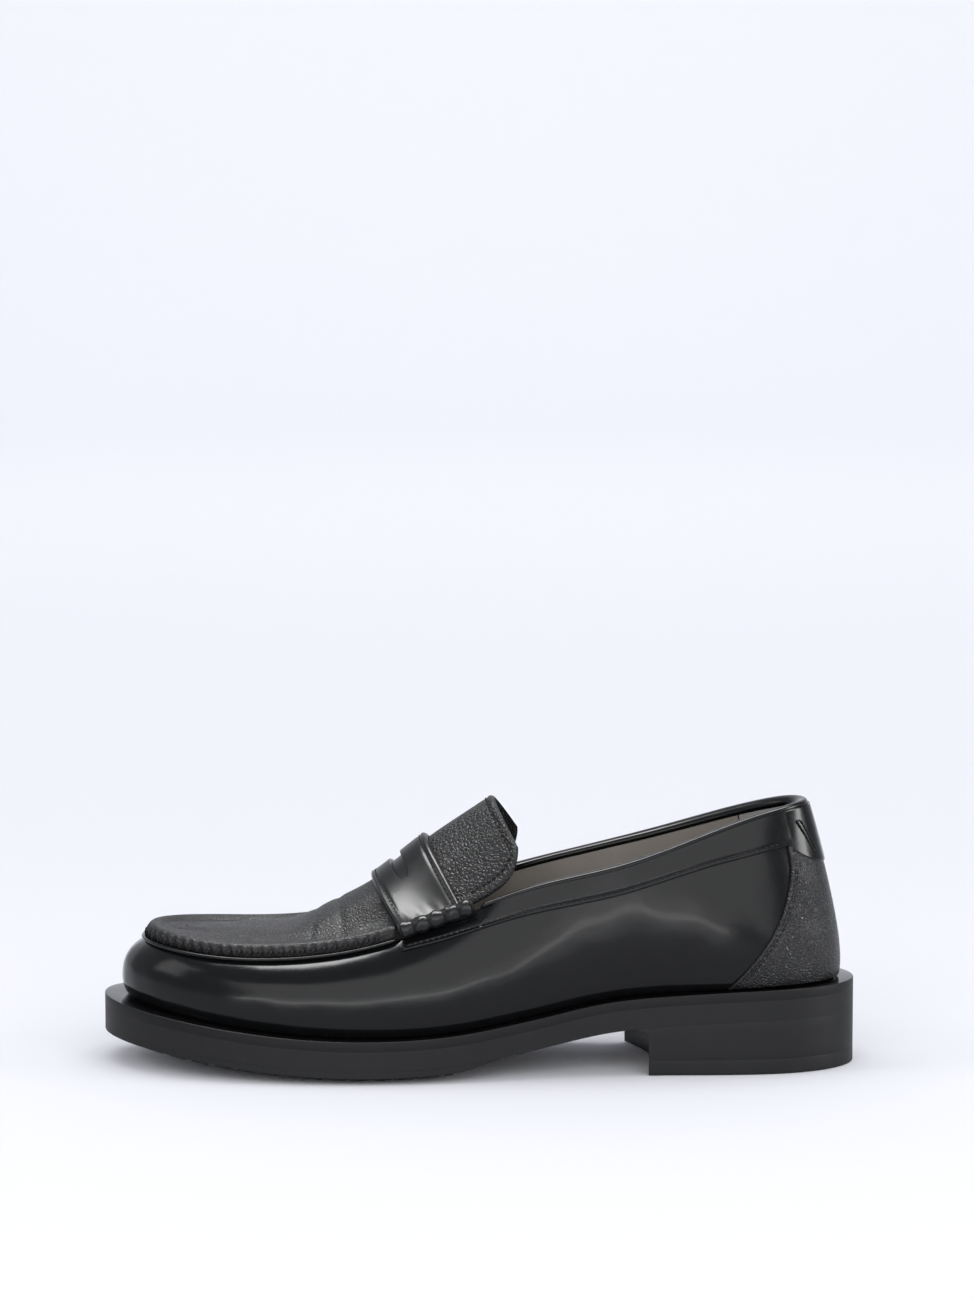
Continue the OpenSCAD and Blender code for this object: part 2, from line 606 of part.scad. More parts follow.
tongue_half = 31;
tongue_root = strap_rear + 0.4;
tongue_lining_t = 0.9;
function tongue_x(f) = mixed(tongue_root, tongue_end, f) * size_xyz[0];
function tongue_y(f) = tongue_half * (1 - 0.2 * pow(f, 8)) * size_xyz[1];
module tongue_layer(low, high, trim) {
    function grid(off) = [for (f = [0, 0.12, 0.25, 0.4, 0.55, 0.7, 0.8, 0.88, 0.94, 1])
        [for (s = range(1, -1, 16)) instep(tongue_x(f * trim), tongue_y(f * trim) * s * trim, off)]];
    sheet(grid(high), grid(low));
}
module tongue() {
    color([0.05, 0.05, 0.055]) tongue_layer(-leather_t, 0, 1);
}
module tongue_lining() {
    out = -leather_t - layer_gap;
    color([0.3, 0.27, 0.24]) tongue_layer(out - tongue_lining_t, out, 0.98);
}
module tongue_stitches() {
    sew_in = 3.5;
    stop = 1 - sew_in / (tongue_end - tongue_root);
    sides = [for (f = range(0.03, stop - 0.05, 8)) [tongue_x(f), tongue_y(f) - sew_in]];
    across = tongue_y(stop) - sew_in - 3;
    path = concat([for (p = sides) [p[0], p[1]]], [for (y = range(across, -across, 14)) [tongue_x(stop), y]],
        [for (p = reversed(sides)) [p[0], -p[1]]]);
    color([0.02, 0.02, 0.02]) thread([for (p = path) instep(p[0], p[1], 0)], [for (p = path) instep_out(p[0], p[1])]);
}

// Height of the collar's lower edge along the shoe
COLLAR_Z = [[-30, 50], [-12, 54.5], [17, 63.4], [53, 71], [73, 77], [89, 81.8], [118, 88], [131, 90]];
function collar_z(u) = table(COLLAR_Z, round_curve(TOP_K, u)[0] / size_xyz[0]);
overlay_low = layer_gap;
overlay_high = layer_gap + overlay_t;
collar_lateral_front = 6.7;
collar_medial_front = 17.72;
topline_lateral_front = 5.78;
topline_medial_front = 18.86;
collar_tip = 2;
// Top of the collar: the topline, and lower where the sewn roll lies over it
function collar_top(u) = let (past = u > toe ? topline_medial_front - u : u - topline_lateral_front)
    max(0.99 - 0.13 * eased(past / 0.2 + 1), wall_t(u, collar_z(u) + collar_tip));

module collar_patch(from, to) {
    wall_patch(from, to, 3, function(u) wall_t(u, collar_z(u)), function(u) collar_top(u),
        overlay_low, overlay_high);
}
module collar_lateral() {
    color([0.03, 0.03, 0.035]) collar_patch(0.01, collar_lateral_front);
}
module collar_medial() {
    color([0.03, 0.03, 0.035]) collar_patch(collar_medial_front, stations - 0.01);
}
module collar_stitches() {
    above = 1.2;
    color([0.02, 0.02, 0.02]) for (span = [[1.6, collar_lateral_front - 0.05], [collar_medial_front + 0.05, 22.4]])
        wall_thread([for (u = range(span[0], span[1], 40)) [u, collar_z(u) + above]], overlay_high);
}

module topline_binding() {
    us = columns(topline_medial_front - stations, topline_lateral_front);
    offsets = [1.25, 0.4, -1.2, -2.8, lining_out - lining_t];
    crown = [0.4, 1.2, 1.6, 1.2, 0.4];
    function grid(flat) = [for (u = us) [for (i = [0:len(offsets) - 1])
        wall(u, 1, offsets[i]) + [0, 0, flat ? 0.1 : crown[i]]]];
    color([0.03, 0.03, 0.035]) sheet(grid(false), grid(true));
}

// Station of the counter's front edge at a height
COUNTER_EDGE = [[30, 2.95], [36, 2.78], [45, 2.45], [55, 2.1], [63, 1.85], [78, 1.52], [90, 1.45]];
counter_foot = VAMP_ROWS[1];
COUNTER_ROWS = [0, 0.12, 0.32, 0.58, 0.82, 1];
module counter_cover() {
    function place(f, v) = let (
        z = mixed(welt_z(100) + 1.5, 87, v), edge = table(COUNTER_EDGE, z), u = mixed(-edge, edge, f),
        top = wall_t(u, collar_z(u) - 0.5))
        [u, mixed(counter_foot, top, v)];
    function grid(off) = [for (f = range(0, 1, 34)) [for (v = COUNTER_ROWS) let (p = place(f, v)) wall(p[0], p[1], off)]];
    color([0.05, 0.05, 0.055]) sheet(grid(overlay_high + layer_gap), grid(overlay_low + 2 * layer_gap));
}
module counter_stitches() {
    rows_in = [0.05, 0.16];
    color([0.02, 0.02, 0.02]) for (side = [-1, 1], inset = rows_in)
        wall_thread([for (z = range(37, 79, 16)) [side * (table(COUNTER_EDGE, z) - inset), z]], overlay_high + layer_gap);
}

tab_reach = 1.45;
function tab_z(u) = 79.5 + 8 * pow(abs(u) / tab_reach, 3);
module back_tab() {
    color([0.03, 0.03, 0.035]) wall_patch(-tab_reach, tab_reach, 4, function(u) wall_t(u, tab_z(u)),
        function(u) 0.985, overlay_high + 2 * layer_gap, overlay_high + 2 * layer_gap + overlay_t);
}
module back_tab_stitches() {
    slit = [[1.12, 97], [1, 97], [0.72, 86], [0.84, 86]];
    outer = overlay_high + 2 * layer_gap + overlay_t;
    color([0.02, 0.02, 0.02]) for (side = [-1, 1], pair = [[0, 3], [1, 2]])
        wall_thread([for (f = range(0, 1, 4)) let (p = mixed(slit[pair[0]], slit[pair[1]], f)) [side * p[0], p[1]]], outer);
}

welt();
cork_filler();
shank();
midsole();
outsole();
forepart_tread();
heel_block();
heel_top_piece();
heel_nails();
insole_board();
sock_lining();
heel_pad();
vamp();
toe_puff();
heel_stiffener();
vamp_lining();
quarter_lining_lateral();
quarter_lining_medial();
heel_grip_lining();
apron();
apron_lining();
apron_stitches();
saddle_strap();
strap_stitches();
beef_roll_lateral();
beef_roll_medial();
beef_roll_stitches();
tongue();
tongue_lining();
tongue_stitches();
collar_lateral();
collar_medial();
collar_stitches();
topline_binding();
counter_cover();
counter_stitches();
back_tab();
back_tab_stitches();
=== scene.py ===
import math

import bpy
import numpy as np
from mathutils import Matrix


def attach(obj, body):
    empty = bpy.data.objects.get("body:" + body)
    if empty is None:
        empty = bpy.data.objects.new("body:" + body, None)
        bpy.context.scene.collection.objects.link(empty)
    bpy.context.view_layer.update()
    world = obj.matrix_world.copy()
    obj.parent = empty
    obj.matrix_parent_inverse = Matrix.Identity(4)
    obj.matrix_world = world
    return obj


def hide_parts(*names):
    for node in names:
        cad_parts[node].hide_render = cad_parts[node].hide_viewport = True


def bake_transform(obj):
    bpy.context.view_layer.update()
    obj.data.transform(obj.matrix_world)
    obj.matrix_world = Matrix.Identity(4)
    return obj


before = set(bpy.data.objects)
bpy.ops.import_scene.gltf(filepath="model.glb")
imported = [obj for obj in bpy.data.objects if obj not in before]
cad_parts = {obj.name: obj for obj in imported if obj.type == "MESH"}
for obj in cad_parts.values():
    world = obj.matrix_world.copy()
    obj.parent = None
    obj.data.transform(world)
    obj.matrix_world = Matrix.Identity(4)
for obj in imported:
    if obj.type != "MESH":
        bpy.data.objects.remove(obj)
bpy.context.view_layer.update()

bl_info = {
    "name": "Penny Loafer",
    "version": (1, 0, 0),
    "blender": (4, 5, 0),
    "location": "3D View > Sidebar > Loafer",
    "description": "Builds a black leather penny loafer, piece by piece, on its CAD frame",
    "category": "Object",
}

# ---------------------------------------------------------------- shape tables
# Lengths in the shape code are millimetres, and the meshes are made in metres.
MM = 0.001
STATIONS = 24
TOE = 12
# Edge of the sole seen from above, at stations from the back of the heel round by the
# outer side, the toe (12) and the inner side
SOLE = [[149, 0], [142, -19], [122, -31.5], [93, -35], [60, -36], [25, -41.5], [-8, -50],
        [-42, -54], [-76, -52], [-107, -44], [-131, -30], [-145, -13], [-149, 3], [-146, 18],
        [-134, 33], [-112, 45], [-84, 52], [-52, 54], [-20, 48], [12, 37], [46, 31], [80, 32],
        [114, 32], [139, 21]]
# Upper edge of the wall: the apron seam in front and the topline behind
TOP = [[128.5, 0, 103], [124, -11, 102.5], [107, -20, 99], [84, -28, 91.5], [55, -33, 81.5],
       [24, -35, 75], [-6, -35.5, 64], [-38, -38.5, 52], [-72, -37.5, 46.5],
       [-101, -32.5, 46], [-120.2, -22, 47.5], [-129.7, -9, 48.5], [-131.5, 3, 48.5],
       [-129.7, 14, 48], [-121.2, 26, 47], [-104, 36, 45.5], [-79, 39.5, 45], [-52, 39.5, 48.5],
       [-20, 37, 59], [6, 34.5, 69], [38, 33, 77.5], [70, 31, 86], [100, 22.5, 96],
       [122, 13, 102.2]]
FEATHER = [7.8, 7.2, 6, 5, 5, 5, 5, 5.5, 6.2, 7, 8, 8.6, 8.8, 8.6, 8, 7, 6.2, 5.5, 5, 5,
           5, 5, 6, 7.2]
LEAN = [1, 1, 1, 1.2, 1.6, 2, 3, 4, 5, 5, 5, 5, 5, 5, 5, 5, 5, 4, 3, 2, 1.6, 1.2, 1, 1]
SWELL = [3.2, 3.8, 4.3, 4.6, 4.4, 4, 3, 2, 1.6, 1.6, 1.6, 1.6, 1.6, 1.6, 1.6, 1.6, 1.6, 2, 3, 4,
         4.4, 4.6, 4.3, 3.8]
# Tables of [place, value] along the shoe
WELT_Z = [[-150, 26.5], [-130, 24], [-100, 20.3], [-70, 17.6], [-40, 16.83], [-10, 18.3],
          [20, 23], [50, 29], [75, 31.3], [110, 33], [150, 33.5]]
CREST_Z = [[-140, 49], [-110, 50], [-90, 51], [-75, 54], [-60, 62], [-42, 71.6], [-20, 88.8],
           [0, 102.3], [10, 109]]
SIDE_DROP = [[-140, 0], [-90, 0], [-75, 3], [-60, 8], [-42, 12.5], [-20, 25], [10, 26]]
SIDE_SWEEP = [[-140, 0], [-90, 0], [-60, 3], [-42, 9], [-20, 15], [10, 15.5]]
COLLAR_Z = [[-30, 50], [-12, 54.5], [17, 63.4], [53, 71], [73, 77], [89, 81.8], [118, 88],
            [131, 90]]
COUNTER_EDGE = [[30, 2.95], [36, 2.78], [45, 2.45], [55, 2.1], [63, 1.85], [78, 1.52],
                [90, 1.45]]
# Section of the apron's rolled edge: [out, up] from its foot over the ridge to the valley
RIDGE = [[-0.1, 0], [0.1, 1.2], [0.1, 2.4], [-0.9, 4], [-2.4, 4.8], [-4.4, 4.3], [-7, 2.9]]
# Section of the lip that the wall turns out under the ridge: [out, up]
LIP = [[0.5, -0.3], [1.2, -0.35], [1.9, -0.15], [2.3, 0.2], [2.4, 0.6], [2.25, 0.95],
       [1.8, 1.2], [0.6, 1.25]]

# Creases across the apron in front of the strap: [place on the crest, slant, depth]
CREASES = [[-56.5, 0.12, 0.55], [-63.5, -0.1, 0.4]]
CREASE_HALF = 1.6
# How far the apron bulges up between its ridges over the toes
BULGE = 2.6
# Where the apron's middle line begins to bend over to the tip of the toe
SPINE_BEND = -60

INSTEP_HALF = 34
INSTEP_POWER = 1.8
SWELL_NORM = 0.385
# How far the wall's foot is drawn in under its swell, up to which t, and the x behind
# which most of that fades out
UNDERCUT = 1.5
UNDERCUT_T = 0.3
UNDERCUT_END = 70
# Depth and half width of the groove that a row of machine sewing presses in
GROOVE = 0.34
GROOVE_HALF = 0.5
# How far the trimmed sides of the sole stand in from its plan
SIDE_INSET = 0.24
GAP = 0.1
STIFFENER = 1.1
LINING = 0.9
OVERLAY = 1.1
WELT = 4
WELT_RING = 12
MIDSOLE = 8
BOTTOM = WELT + MIDSOLE
OUTSOLE = 2.4
TREAD = 2.4
HEEL_TOP = 6
PAD_FRONT = 62
BREAST = (-20.4, -12, 90)
STRAP_FRONT = -41.8
STRAP_REAR = -20
SLOT = (-33.8, -29.9, 17.3)
STRAP_HALF = 35.6
STRAP_BASE = 0.7
ROLL_T = 0.97
ROLL_RISE = 1.8
ROLL_LATERAL = (6.76, 5.84)
ROLL_MEDIAL = (17.68, 18.8)
LOBES = 5
TONGUE_END = 5.2
TONGUE_HALF = 32.4
COLLAR_LATERAL = 6.7
COLLAR_MEDIAL = 17.72
TOPLINE_LATERAL = 5.78
TOPLINE_MEDIAL = 18.86
TAB_REACH = 1.45
# About how many millimetres one station spans along the wall
SPAN = 30


# ------------------------------------------------------------------- curves
def mix(a, b, f):
    """a where f is 0, b where f is 1, and in proportion between."""
    return a + (b - a) * f


def eased(v):
    """0 up to 0, 1 from 1, and a smooth S between."""
    f = np.clip(v, 0, 1)
    return f * f * (3 - 2 * f)


def unit(v):
    """v divided by its length."""
    return v / np.maximum(np.linalg.norm(v, axis=-1, keepdims=True), 1e-9)


def spline(k, i, f):
    """Uniform cubic B-spline of the knots k in span i at fraction f."""
    if k.ndim > 1:
        f = f[..., None]
    g = 1 - f
    a, b, c, d = (k[j % len(k)] for j in (i - 1, i, i + 1, i + 2))
    return (a * g ** 3 + b * (3 * f ** 3 - 6 * f ** 2 + 4)
            + c * (3 * g ** 3 - 6 * g ** 2 + 4) + d * f ** 3) / 6


def knots(points):
    """Knots of the closed spline that passes within a hair of its points."""
    p = np.array(points, float)
    return (8 * p - np.roll(p, 1, 0) - np.roll(p, -1, 0)) / 6


def ring(k, u):
    """Smooth closed curve through the knots k at station u."""
    v = np.mod(np.asarray(u, float), len(k))
    i = np.floor(v).astype(int)
    return spline(k, i, v - i)


def table(rows, pitch=6):
    """Smooth curve over a table of [place, value]: cubic pieces between the places,
    sampled every pitch and rounded by a B-spline of those samples."""
    x, y = np.array(rows, float).T
    back = np.maximum(np.arange(len(x)) - 1, 0)
    ahead = np.minimum(np.arange(len(x)) + 1, len(x) - 1)
    slope = (y[ahead] - y[back]) / (x[ahead] - x[back])
    places = np.arange(x[0] - 2 * pitch, x[-1] + 3 * pitch, pitch)
    i = np.clip(np.searchsorted(x, places, side="right") - 1, 0, len(x) - 2)
    h = x[i + 1] - x[i]
    f = np.clip((places - x[i]) / h, 0, 1)
    g = 1 - f
    k = (y[i] * g * g * (1 + 2 * f) + y[i + 1] * f * f * (1 + 2 * g)
         + h * f * g * (slope[i] * g - slope[i + 1] * f))

    def value(v):
        s = (np.clip(v, x[0], x[-1]) - places[0]) / pitch
        j = np.clip(np.floor(s).astype(int), 1, len(k) - 3)
        return spline(k, j, s - j)
    return value


def path(points, count):
    """Smooth open curve through points (Catmull-Rom), as count points."""
    p = np.array(points, float)
    p = np.vstack([2 * p[0] - p[1], p, 2 * p[-1] - p[-2]])
    s = np.linspace(0, len(p) - 3, count)
    i = np.minimum(np.floor(s).astype(int), len(p) - 4)
    f = (s - i)[:, None]
    a, b, c, d = p[i], p[i + 1], p[i + 2], p[i + 3]
    return 0.5 * (2 * b + (c - a) * f + (2 * a - 5 * b + 4 * c - d) * f ** 2
                  + (3 * b - a - 3 * c + d) * f ** 3)


SOLE_K = knots([p + [0] for p in SOLE])
TOP_K = knots(TOP)
FEATHER_K = knots(FEATHER)
LEAN_K = knots(LEAN)
SWELL_K = knots(SWELL)
welt_z = table(WELT_Z)
crest_z = table(CREST_Z)
side_drop = table(SIDE_DROP)
side_sweep = table(SIDE_SWEEP)
collar_height = table(COLLAR_Z)
counter_edge = table(COUNTER_EDGE, 3)


def outward(u):
    """Direction out of the sole's edge at station u, level."""
    d = ring(SOLE_K, np.asarray(u) + 0.01) - ring(SOLE_K, np.asarray(u) - 0.01)
    return unit(np.stack([-d[..., 1], d[..., 0], 0 * d[..., 0]], -1))


def sole_edge(u, inset):
    """Point of the sole's plan, inset from its edge."""
    return ring(SOLE_K, u) - np.asarray(inset)[..., None] * outward(u)


def ripple(u, t):
    """Slight unevenness of the lasted leather: slow waves in both directions."""
    turn = 2 * np.pi * u / STATIONS
    return (0.06 * np.sin(19 * turn + 3 * t) * np.sin(9 * turn + 4 * t)
            + 0.03 * np.sin(37 * turn - 5 * t))


def wall_point(u, t):
    """Wall of the upper. It starts at the welt, drawn in from the sole's edge, and goes to
    the upper edge at t = 1: straight in height, late in its lean, with a swell above its foot,
    and drawn in below that swell by the square of the distance under UNDERCUT_T."""
    u, t = np.broadcast_arrays(np.asarray(u, float), np.asarray(t, float))
    n = outward(u)
    foot = ring(SOLE_K, u) - n * ring(FEATHER_K, u)[..., None]
    top = ring(TOP_K, u)
    lean = t ** ring(LEAN_K, u)
    waves = ripple(u, t) * eased(4 * t) * eased(8 - 8 * t)
    swell = ring(SWELL_K, u) * np.sqrt(t) * (1 - t) / SWELL_NORM + waves
    heelward = eased((foot[..., 0] - UNDERCUT_END) / 30)
    swell = swell - UNDERCUT * np.clip(1 - t / UNDERCUT_T, 0, 1) ** 2 * (1 - 0.7 * heelward)
    p = mix(foot, top, lean[..., None]) + n * swell[..., None]
    p[..., 2] = mix(welt_z(foot[..., 0]) + GAP, top[..., 2], t)
    return p


def wall_normal(u, t):
    """Direction out of the wall, taken no nearer its ends than t = 0.16 and 0.97."""
    v = np.clip(t, 0.16, 0.97)
    along = wall_point(np.asarray(u) + 0.02, v) - wall_point(np.asarray(u) - 0.02, v)
    up = wall_point(u, v + 0.02) - wall_point(u, v - 0.02)
    return unit(np.cross(up, along))


def wall(u, t, off):
    """Point at a distance off the wall."""
    return wall_point(u, t) + np.asarray(off)[..., None] * wall_normal(u, t)


def wall_t(u, z):
    """The t at which the wall at station u reaches height z."""
    low, high = wall_point(u, 0.0)[..., 2], ring(TOP_K, u)[..., 2]
    return np.clip((z - low) / (high - low), 0, 1)


def collar_z(u):
    """Height of the collar's lower edge at station u."""
    return collar_height(ring(TOP_K, u)[..., 0])


def instep_point(x, y):
    """Instep: a line across the foot starts on the crest at x, and its sides are swept
    back and down as a power of the distance from the middle."""
    w = (np.abs(y) / INSTEP_HALF) ** INSTEP_POWER
    back, height = x + side_sweep(x) * w, crest_z(x) - side_drop(x) * w
    return np.stack(np.broadcast_arrays(back, y, height), -1)


def instep_out(x, y):
    """Direction out of the instep."""
    across = instep_point(x, y + 0.1) - instep_point(x, y - 0.1)
    along = instep_point(x + 0.1, y) - instep_point(x - 0.1, y)
    return unit(np.cross(along, across))


def instep(x, y, off):
    """Point at a distance off the instep."""
    x, y, off = np.broadcast_arrays(*(np.asarray(v, float) for v in (x, y, off)))
    return instep_point(x, y) + off[..., None] * instep_out(x, y)


def instep_z(x, y):
    """Height of the instep over a point of the plan, found by repeating the sweep."""
    w = (np.abs(y) / INSTEP_HALF) ** INSTEP_POWER
    c = x
    for _ in range(3):
        c = x - side_sweep(c) * w
    return crest_z(c) - side_drop(c) * w


def rounded(d, r):
    """Quarter circle: 0 at the edge and 1 from a distance r inside it."""
    return np.sqrt(np.clip(1 - (1 - np.clip(d / r, 0, 1)) ** 2, 0, 1))


def dense(breaks, step, fine=(0.06, 0.2, 0.45, 0.8, 1.2)):
    """Places from the first break to the last, close together on both sides of each."""
    places = [np.arange(breaks[0], breaks[-1], step)]
    for b in breaks:
        places += [np.array([b - f for f in fine] + [b] + [b + f for f in fine])]
    p = np.unique(np.round(np.concatenate(places), 3))
    p = p[(p >= breaks[0]) & (p <= breaks[-1])]
    keep = np.ones(len(p), bool)
    near = np.min(np.abs(p[:, None] - np.array(breaks)), 1) < max(fine) + 0.01
    keep[1:-1] = near[1:-1] | (np.minimum(np.diff(p)[:-1], np.diff(p)[1:]) > 0.3 * step)
    return p[keep]


def runs(length, count, fine=(0, 0.06, 0.2, 0.45, 0.8, 1.2)):
    """Fractions from 0 to 1 of a length, close together at both ends. length may be an array."""
    length = np.asarray(length, float)[..., None]
    d = np.array(fine) / length
    middle = mix(d[..., -1:], 1 - d[..., -1:], np.linspace(0, 1, count)[1:-1])
    return np.concatenate([d, middle, 1 - d[..., ::-1]], -1)


# ------------------------------------------------------------------- meshes
def numbered(grid, close=False):
    """Numbers of a grid's points, with the first line again at the end where it closes."""
    ids = np.arange(grid.shape[0] * grid.shape[1]).reshape(grid.shape[:2])
    return np.vstack([ids, ids[:1]]) if close else ids


def grid_quads(ids):
    """Quads between the neighbours of a grid of numbers."""
    return np.stack([ids[:-1, :-1], ids[:-1, 1:], ids[1:, 1:], ids[1:, :-1]], -1).reshape(-1, 4)


class Shape:
    """Points and faces of one piece, put together from closed parts."""

    def __init__(self):
        self.points, self.faces, self.count = [], [], 0

    def add(self, points, quads):
        """A closed part. Its faces are turned round if its volume comes out negative."""
        points = np.asarray(points, float).reshape(-1, 3)
        quads = np.asarray(quads)
        a, b, c, d = (points[quads[:, i]] for i in range(4))
        volume = np.einsum("ij,ij->", a, np.cross(b, c)) + np.einsum("ij,ij->", a, np.cross(c, d))
        self.points.append(points)
        self.faces.append((quads[:, ::-1] if volume < 0 else quads) + self.count)
        self.count += len(points)

    def slab(self, outer, inner, close=False):
        """Closed sheet between two grids of points: both faces, and walls round every edge."""
        quads = grid_quads(numbered(outer, close))
        n = outer.shape[0] * outer.shape[1]
        sides = np.concatenate([quads[:, [i, (i + 1) % 4]] for i in range(4)])
        rim = sides[~np.isin(sides[:, 0] * n + sides[:, 1], sides[:, 1] * n + sides[:, 0])]
        walls = np.stack([rim[:, 1], rim[:, 0], rim[:, 0] + n, rim[:, 1] + n], -1)
        self.add(np.concatenate([outer.reshape(-1, 3), inner.reshape(-1, 3)]),
                 np.concatenate([quads, quads[:, ::-1] + n, walls]))

    def tube(self, rings, close=False):
        """Closed tube through rings of points, capped by a fan at each end unless it closes."""
        ids = numbered(rings, close)
        ids = np.hstack([ids, ids[:, :1]])
        quads = grid_quads(ids)
        points = rings.reshape(-1, 3)
        if not close:
            hub = np.full(rings.shape[1], len(points))
            points = np.vstack([points, rings[0].mean(0), rings[-1].mean(0)])
            first, last = ids[0], ids[-1]
            quads = np.vstack([quads, np.stack([first[1:], first[:-1], hub, hub], -1),
                               np.stack([last[:-1], last[1:], hub + 1, hub + 1], -1)])
        self.add(points, quads)

    def tubes(self, rings):
        """Many like tubes at once: rings has one more leading axis, the tube."""
        for one in rings:
            self.tube(one)

    def make(self, node, skin, slot=None, body="shoe", sharp=40):
        """The mesh object in place of a CAD node and named after it, riding on its body.
        Its slot holds its finish. The slot argument is not used."""
        points = np.concatenate(self.points)
        quads = np.concatenate(self.faces)
        rounded_points = np.round(points, 4)
        _, first, back = np.unique(rounded_points, axis=0, return_index=True, return_inverse=True)
        points, quads = points[first], back.reshape(-1)[quads]
        same = quads == np.roll(quads, -1, 1)
        quads = quads[same.sum(1) < 2]
        same = quads == np.roll(quads, -1, 1)
        flat = quads[~same]
        sizes = 4 - same.sum(1)
        name = node.title()
        mesh = bpy.data.meshes.new(name)
        mesh.vertices.add(len(points))
        mesh.vertices.foreach_set("co", (points * MM).astype(np.float32).ravel())
        mesh.loops.add(len(flat))
        mesh.loops.foreach_set("vertex_index", flat.astype(np.int32))
        mesh.polygons.add(len(sizes))
        mesh.polygons.foreach_set("loop_start", (np.cumsum(sizes) - sizes).astype(np.int32))
        mesh.polygons.foreach_set("use_smooth", np.ones(len(sizes), bool))
        mesh.update(calc_edges=True)
        mesh.validate()
        mesh.set_sharp_from_angle(angle=math.radians(sharp))
        mesh.materials.append(finish(skin))
        piece = bpy.data.objects.new(name, mesh)
        bpy.context.scene.collection.objects.link(piece)
        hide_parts(node)
        if body:
            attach(piece, body)
        return piece


def sew(shape, line, outs, pitch=2.4, length=1.9, width=0.62, ends=0.6):
    """Row of machine stitches: flattened beads, a pitch apart along a line of points, each
    lying along the line, half sunk in the leather, and deeper at its ends."""
    steps = np.linalg.norm(np.diff(line, axis=0), axis=1)
    far = np.concatenate([[0], np.cumsum(steps)])
    count = max(int((far[-1] - 2 * ends) / pitch), 1)
    s = ends + (far[-1] - 2 * ends) * (np.arange(count) + 0.5) / count

    def at(d, v):
        return np.stack([np.interp(d, far, v[:, i]) for i in range(3)], -1)
    centre, out = at(s, line), unit(at(s, outs))
    run = unit(at(np.minimum(s + 0.6, far[-1]), line) - at(np.maximum(s - 0.6, 0), line))
    side = unit(np.cross(out, run))
    out = np.cross(run, side)
    along = np.array([-1, -0.8, -0.35, 0.35, 0.8, 1]) * length / 2
    fat = np.array([0.25, 0.75, 1, 1, 0.75, 0.25])
    turn = np.radians(np.arange(6) * 60)
    rise = width * 0.22 - 0.05 - 0.18 * (np.abs(along) / along[-1]) ** 3
    spokes = (side[:, None, None] * np.cos(turn)[None, None, :, None]
              + out[:, None, None] * np.sin(turn)[None, None, :, None] * 0.7)
    shape.tubes(centre[:, None, None] + run[:, None, None] * along[None, :, None, None]
                + spokes * (fat * width / 2)[None, :, None, None]
                + out[:, None, None] * rise[None, :, None, None])


def sew_wall(shape, u, z, off, **options):
    """Row of machine stitches on the wall through stations u at heights z."""
    t = wall_t(u, z)
    sew(shape, wall(u, t, np.full(len(u), off)), wall_normal(u, t), **options)


def run_lengths(p, axis):
    """Distance along a grid's lines in one direction, from their first points."""
    steps = np.linalg.norm(np.diff(p, axis=axis), axis=-1)
    return np.concatenate([np.zeros_like(np.take(steps, [0], axis)), np.cumsum(steps, axis)], axis)


def sheet_on_wall(shape, u, t, base, thick, reach, inner=None, edges="lrtb", groove=(), fade=None):
    """Patch of leather on the wall over a grid of stations and t. It stands thick off its
    base, rounded down over a distance reach to the edges named: l and r are its ends, b and
    t its lower and upper edge. The sewing presses a groove in at each distance of groove from
    those edges. Where fade is 0 the sheet lies level with the top of a single overlay."""
    p = wall_point(u, t)
    along, up = run_lengths(p, 0), run_lengths(p, 1)
    d = np.full(along.shape, 99.0)
    for name, value in (("l", along), ("r", along[-1:] - along), ("b", up), ("t", up[:, -1:] - up)):
        if name in edges:
            d = np.minimum(d, value)
    off = base + thick * rounded(d, reach)
    for line in groove:
        off = off - GROOVE * np.exp(-((d - line) / GROOVE_HALF) ** 2)
    if fade is not None:
        off = mix(GAP + OVERLAY - 0.06, off, fade)
    n = wall_normal(u, t)
    low = base - 0.25 if inner is None else inner
    shape.slab(p + n * off[..., None], p + n * low)


# ---------------------------------------------------------------- materials
class Value:
    """A socket in a material's nodes. Arithmetic on values adds Math nodes."""

    def __init__(self, nodes, socket):
        self.nodes, self.socket = nodes, socket

    def math(self, operation, first, second):
        return self.nodes.add("ShaderNodeMath", {"operation": operation}, {0: first, 1: second})

    def __add__(self, other):
        return self.math("ADD", self, other)

    def __radd__(self, other):
        return self.math("ADD", self, other)

    def __sub__(self, other):
        return self.math("SUBTRACT", self, other)

    def __rsub__(self, other):
        return self.math("SUBTRACT", other, self)

    def __mul__(self, other):
        return self.math("MULTIPLY", self, other)

    def __rmul__(self, other):
        return self.math("MULTIPLY", self, other)


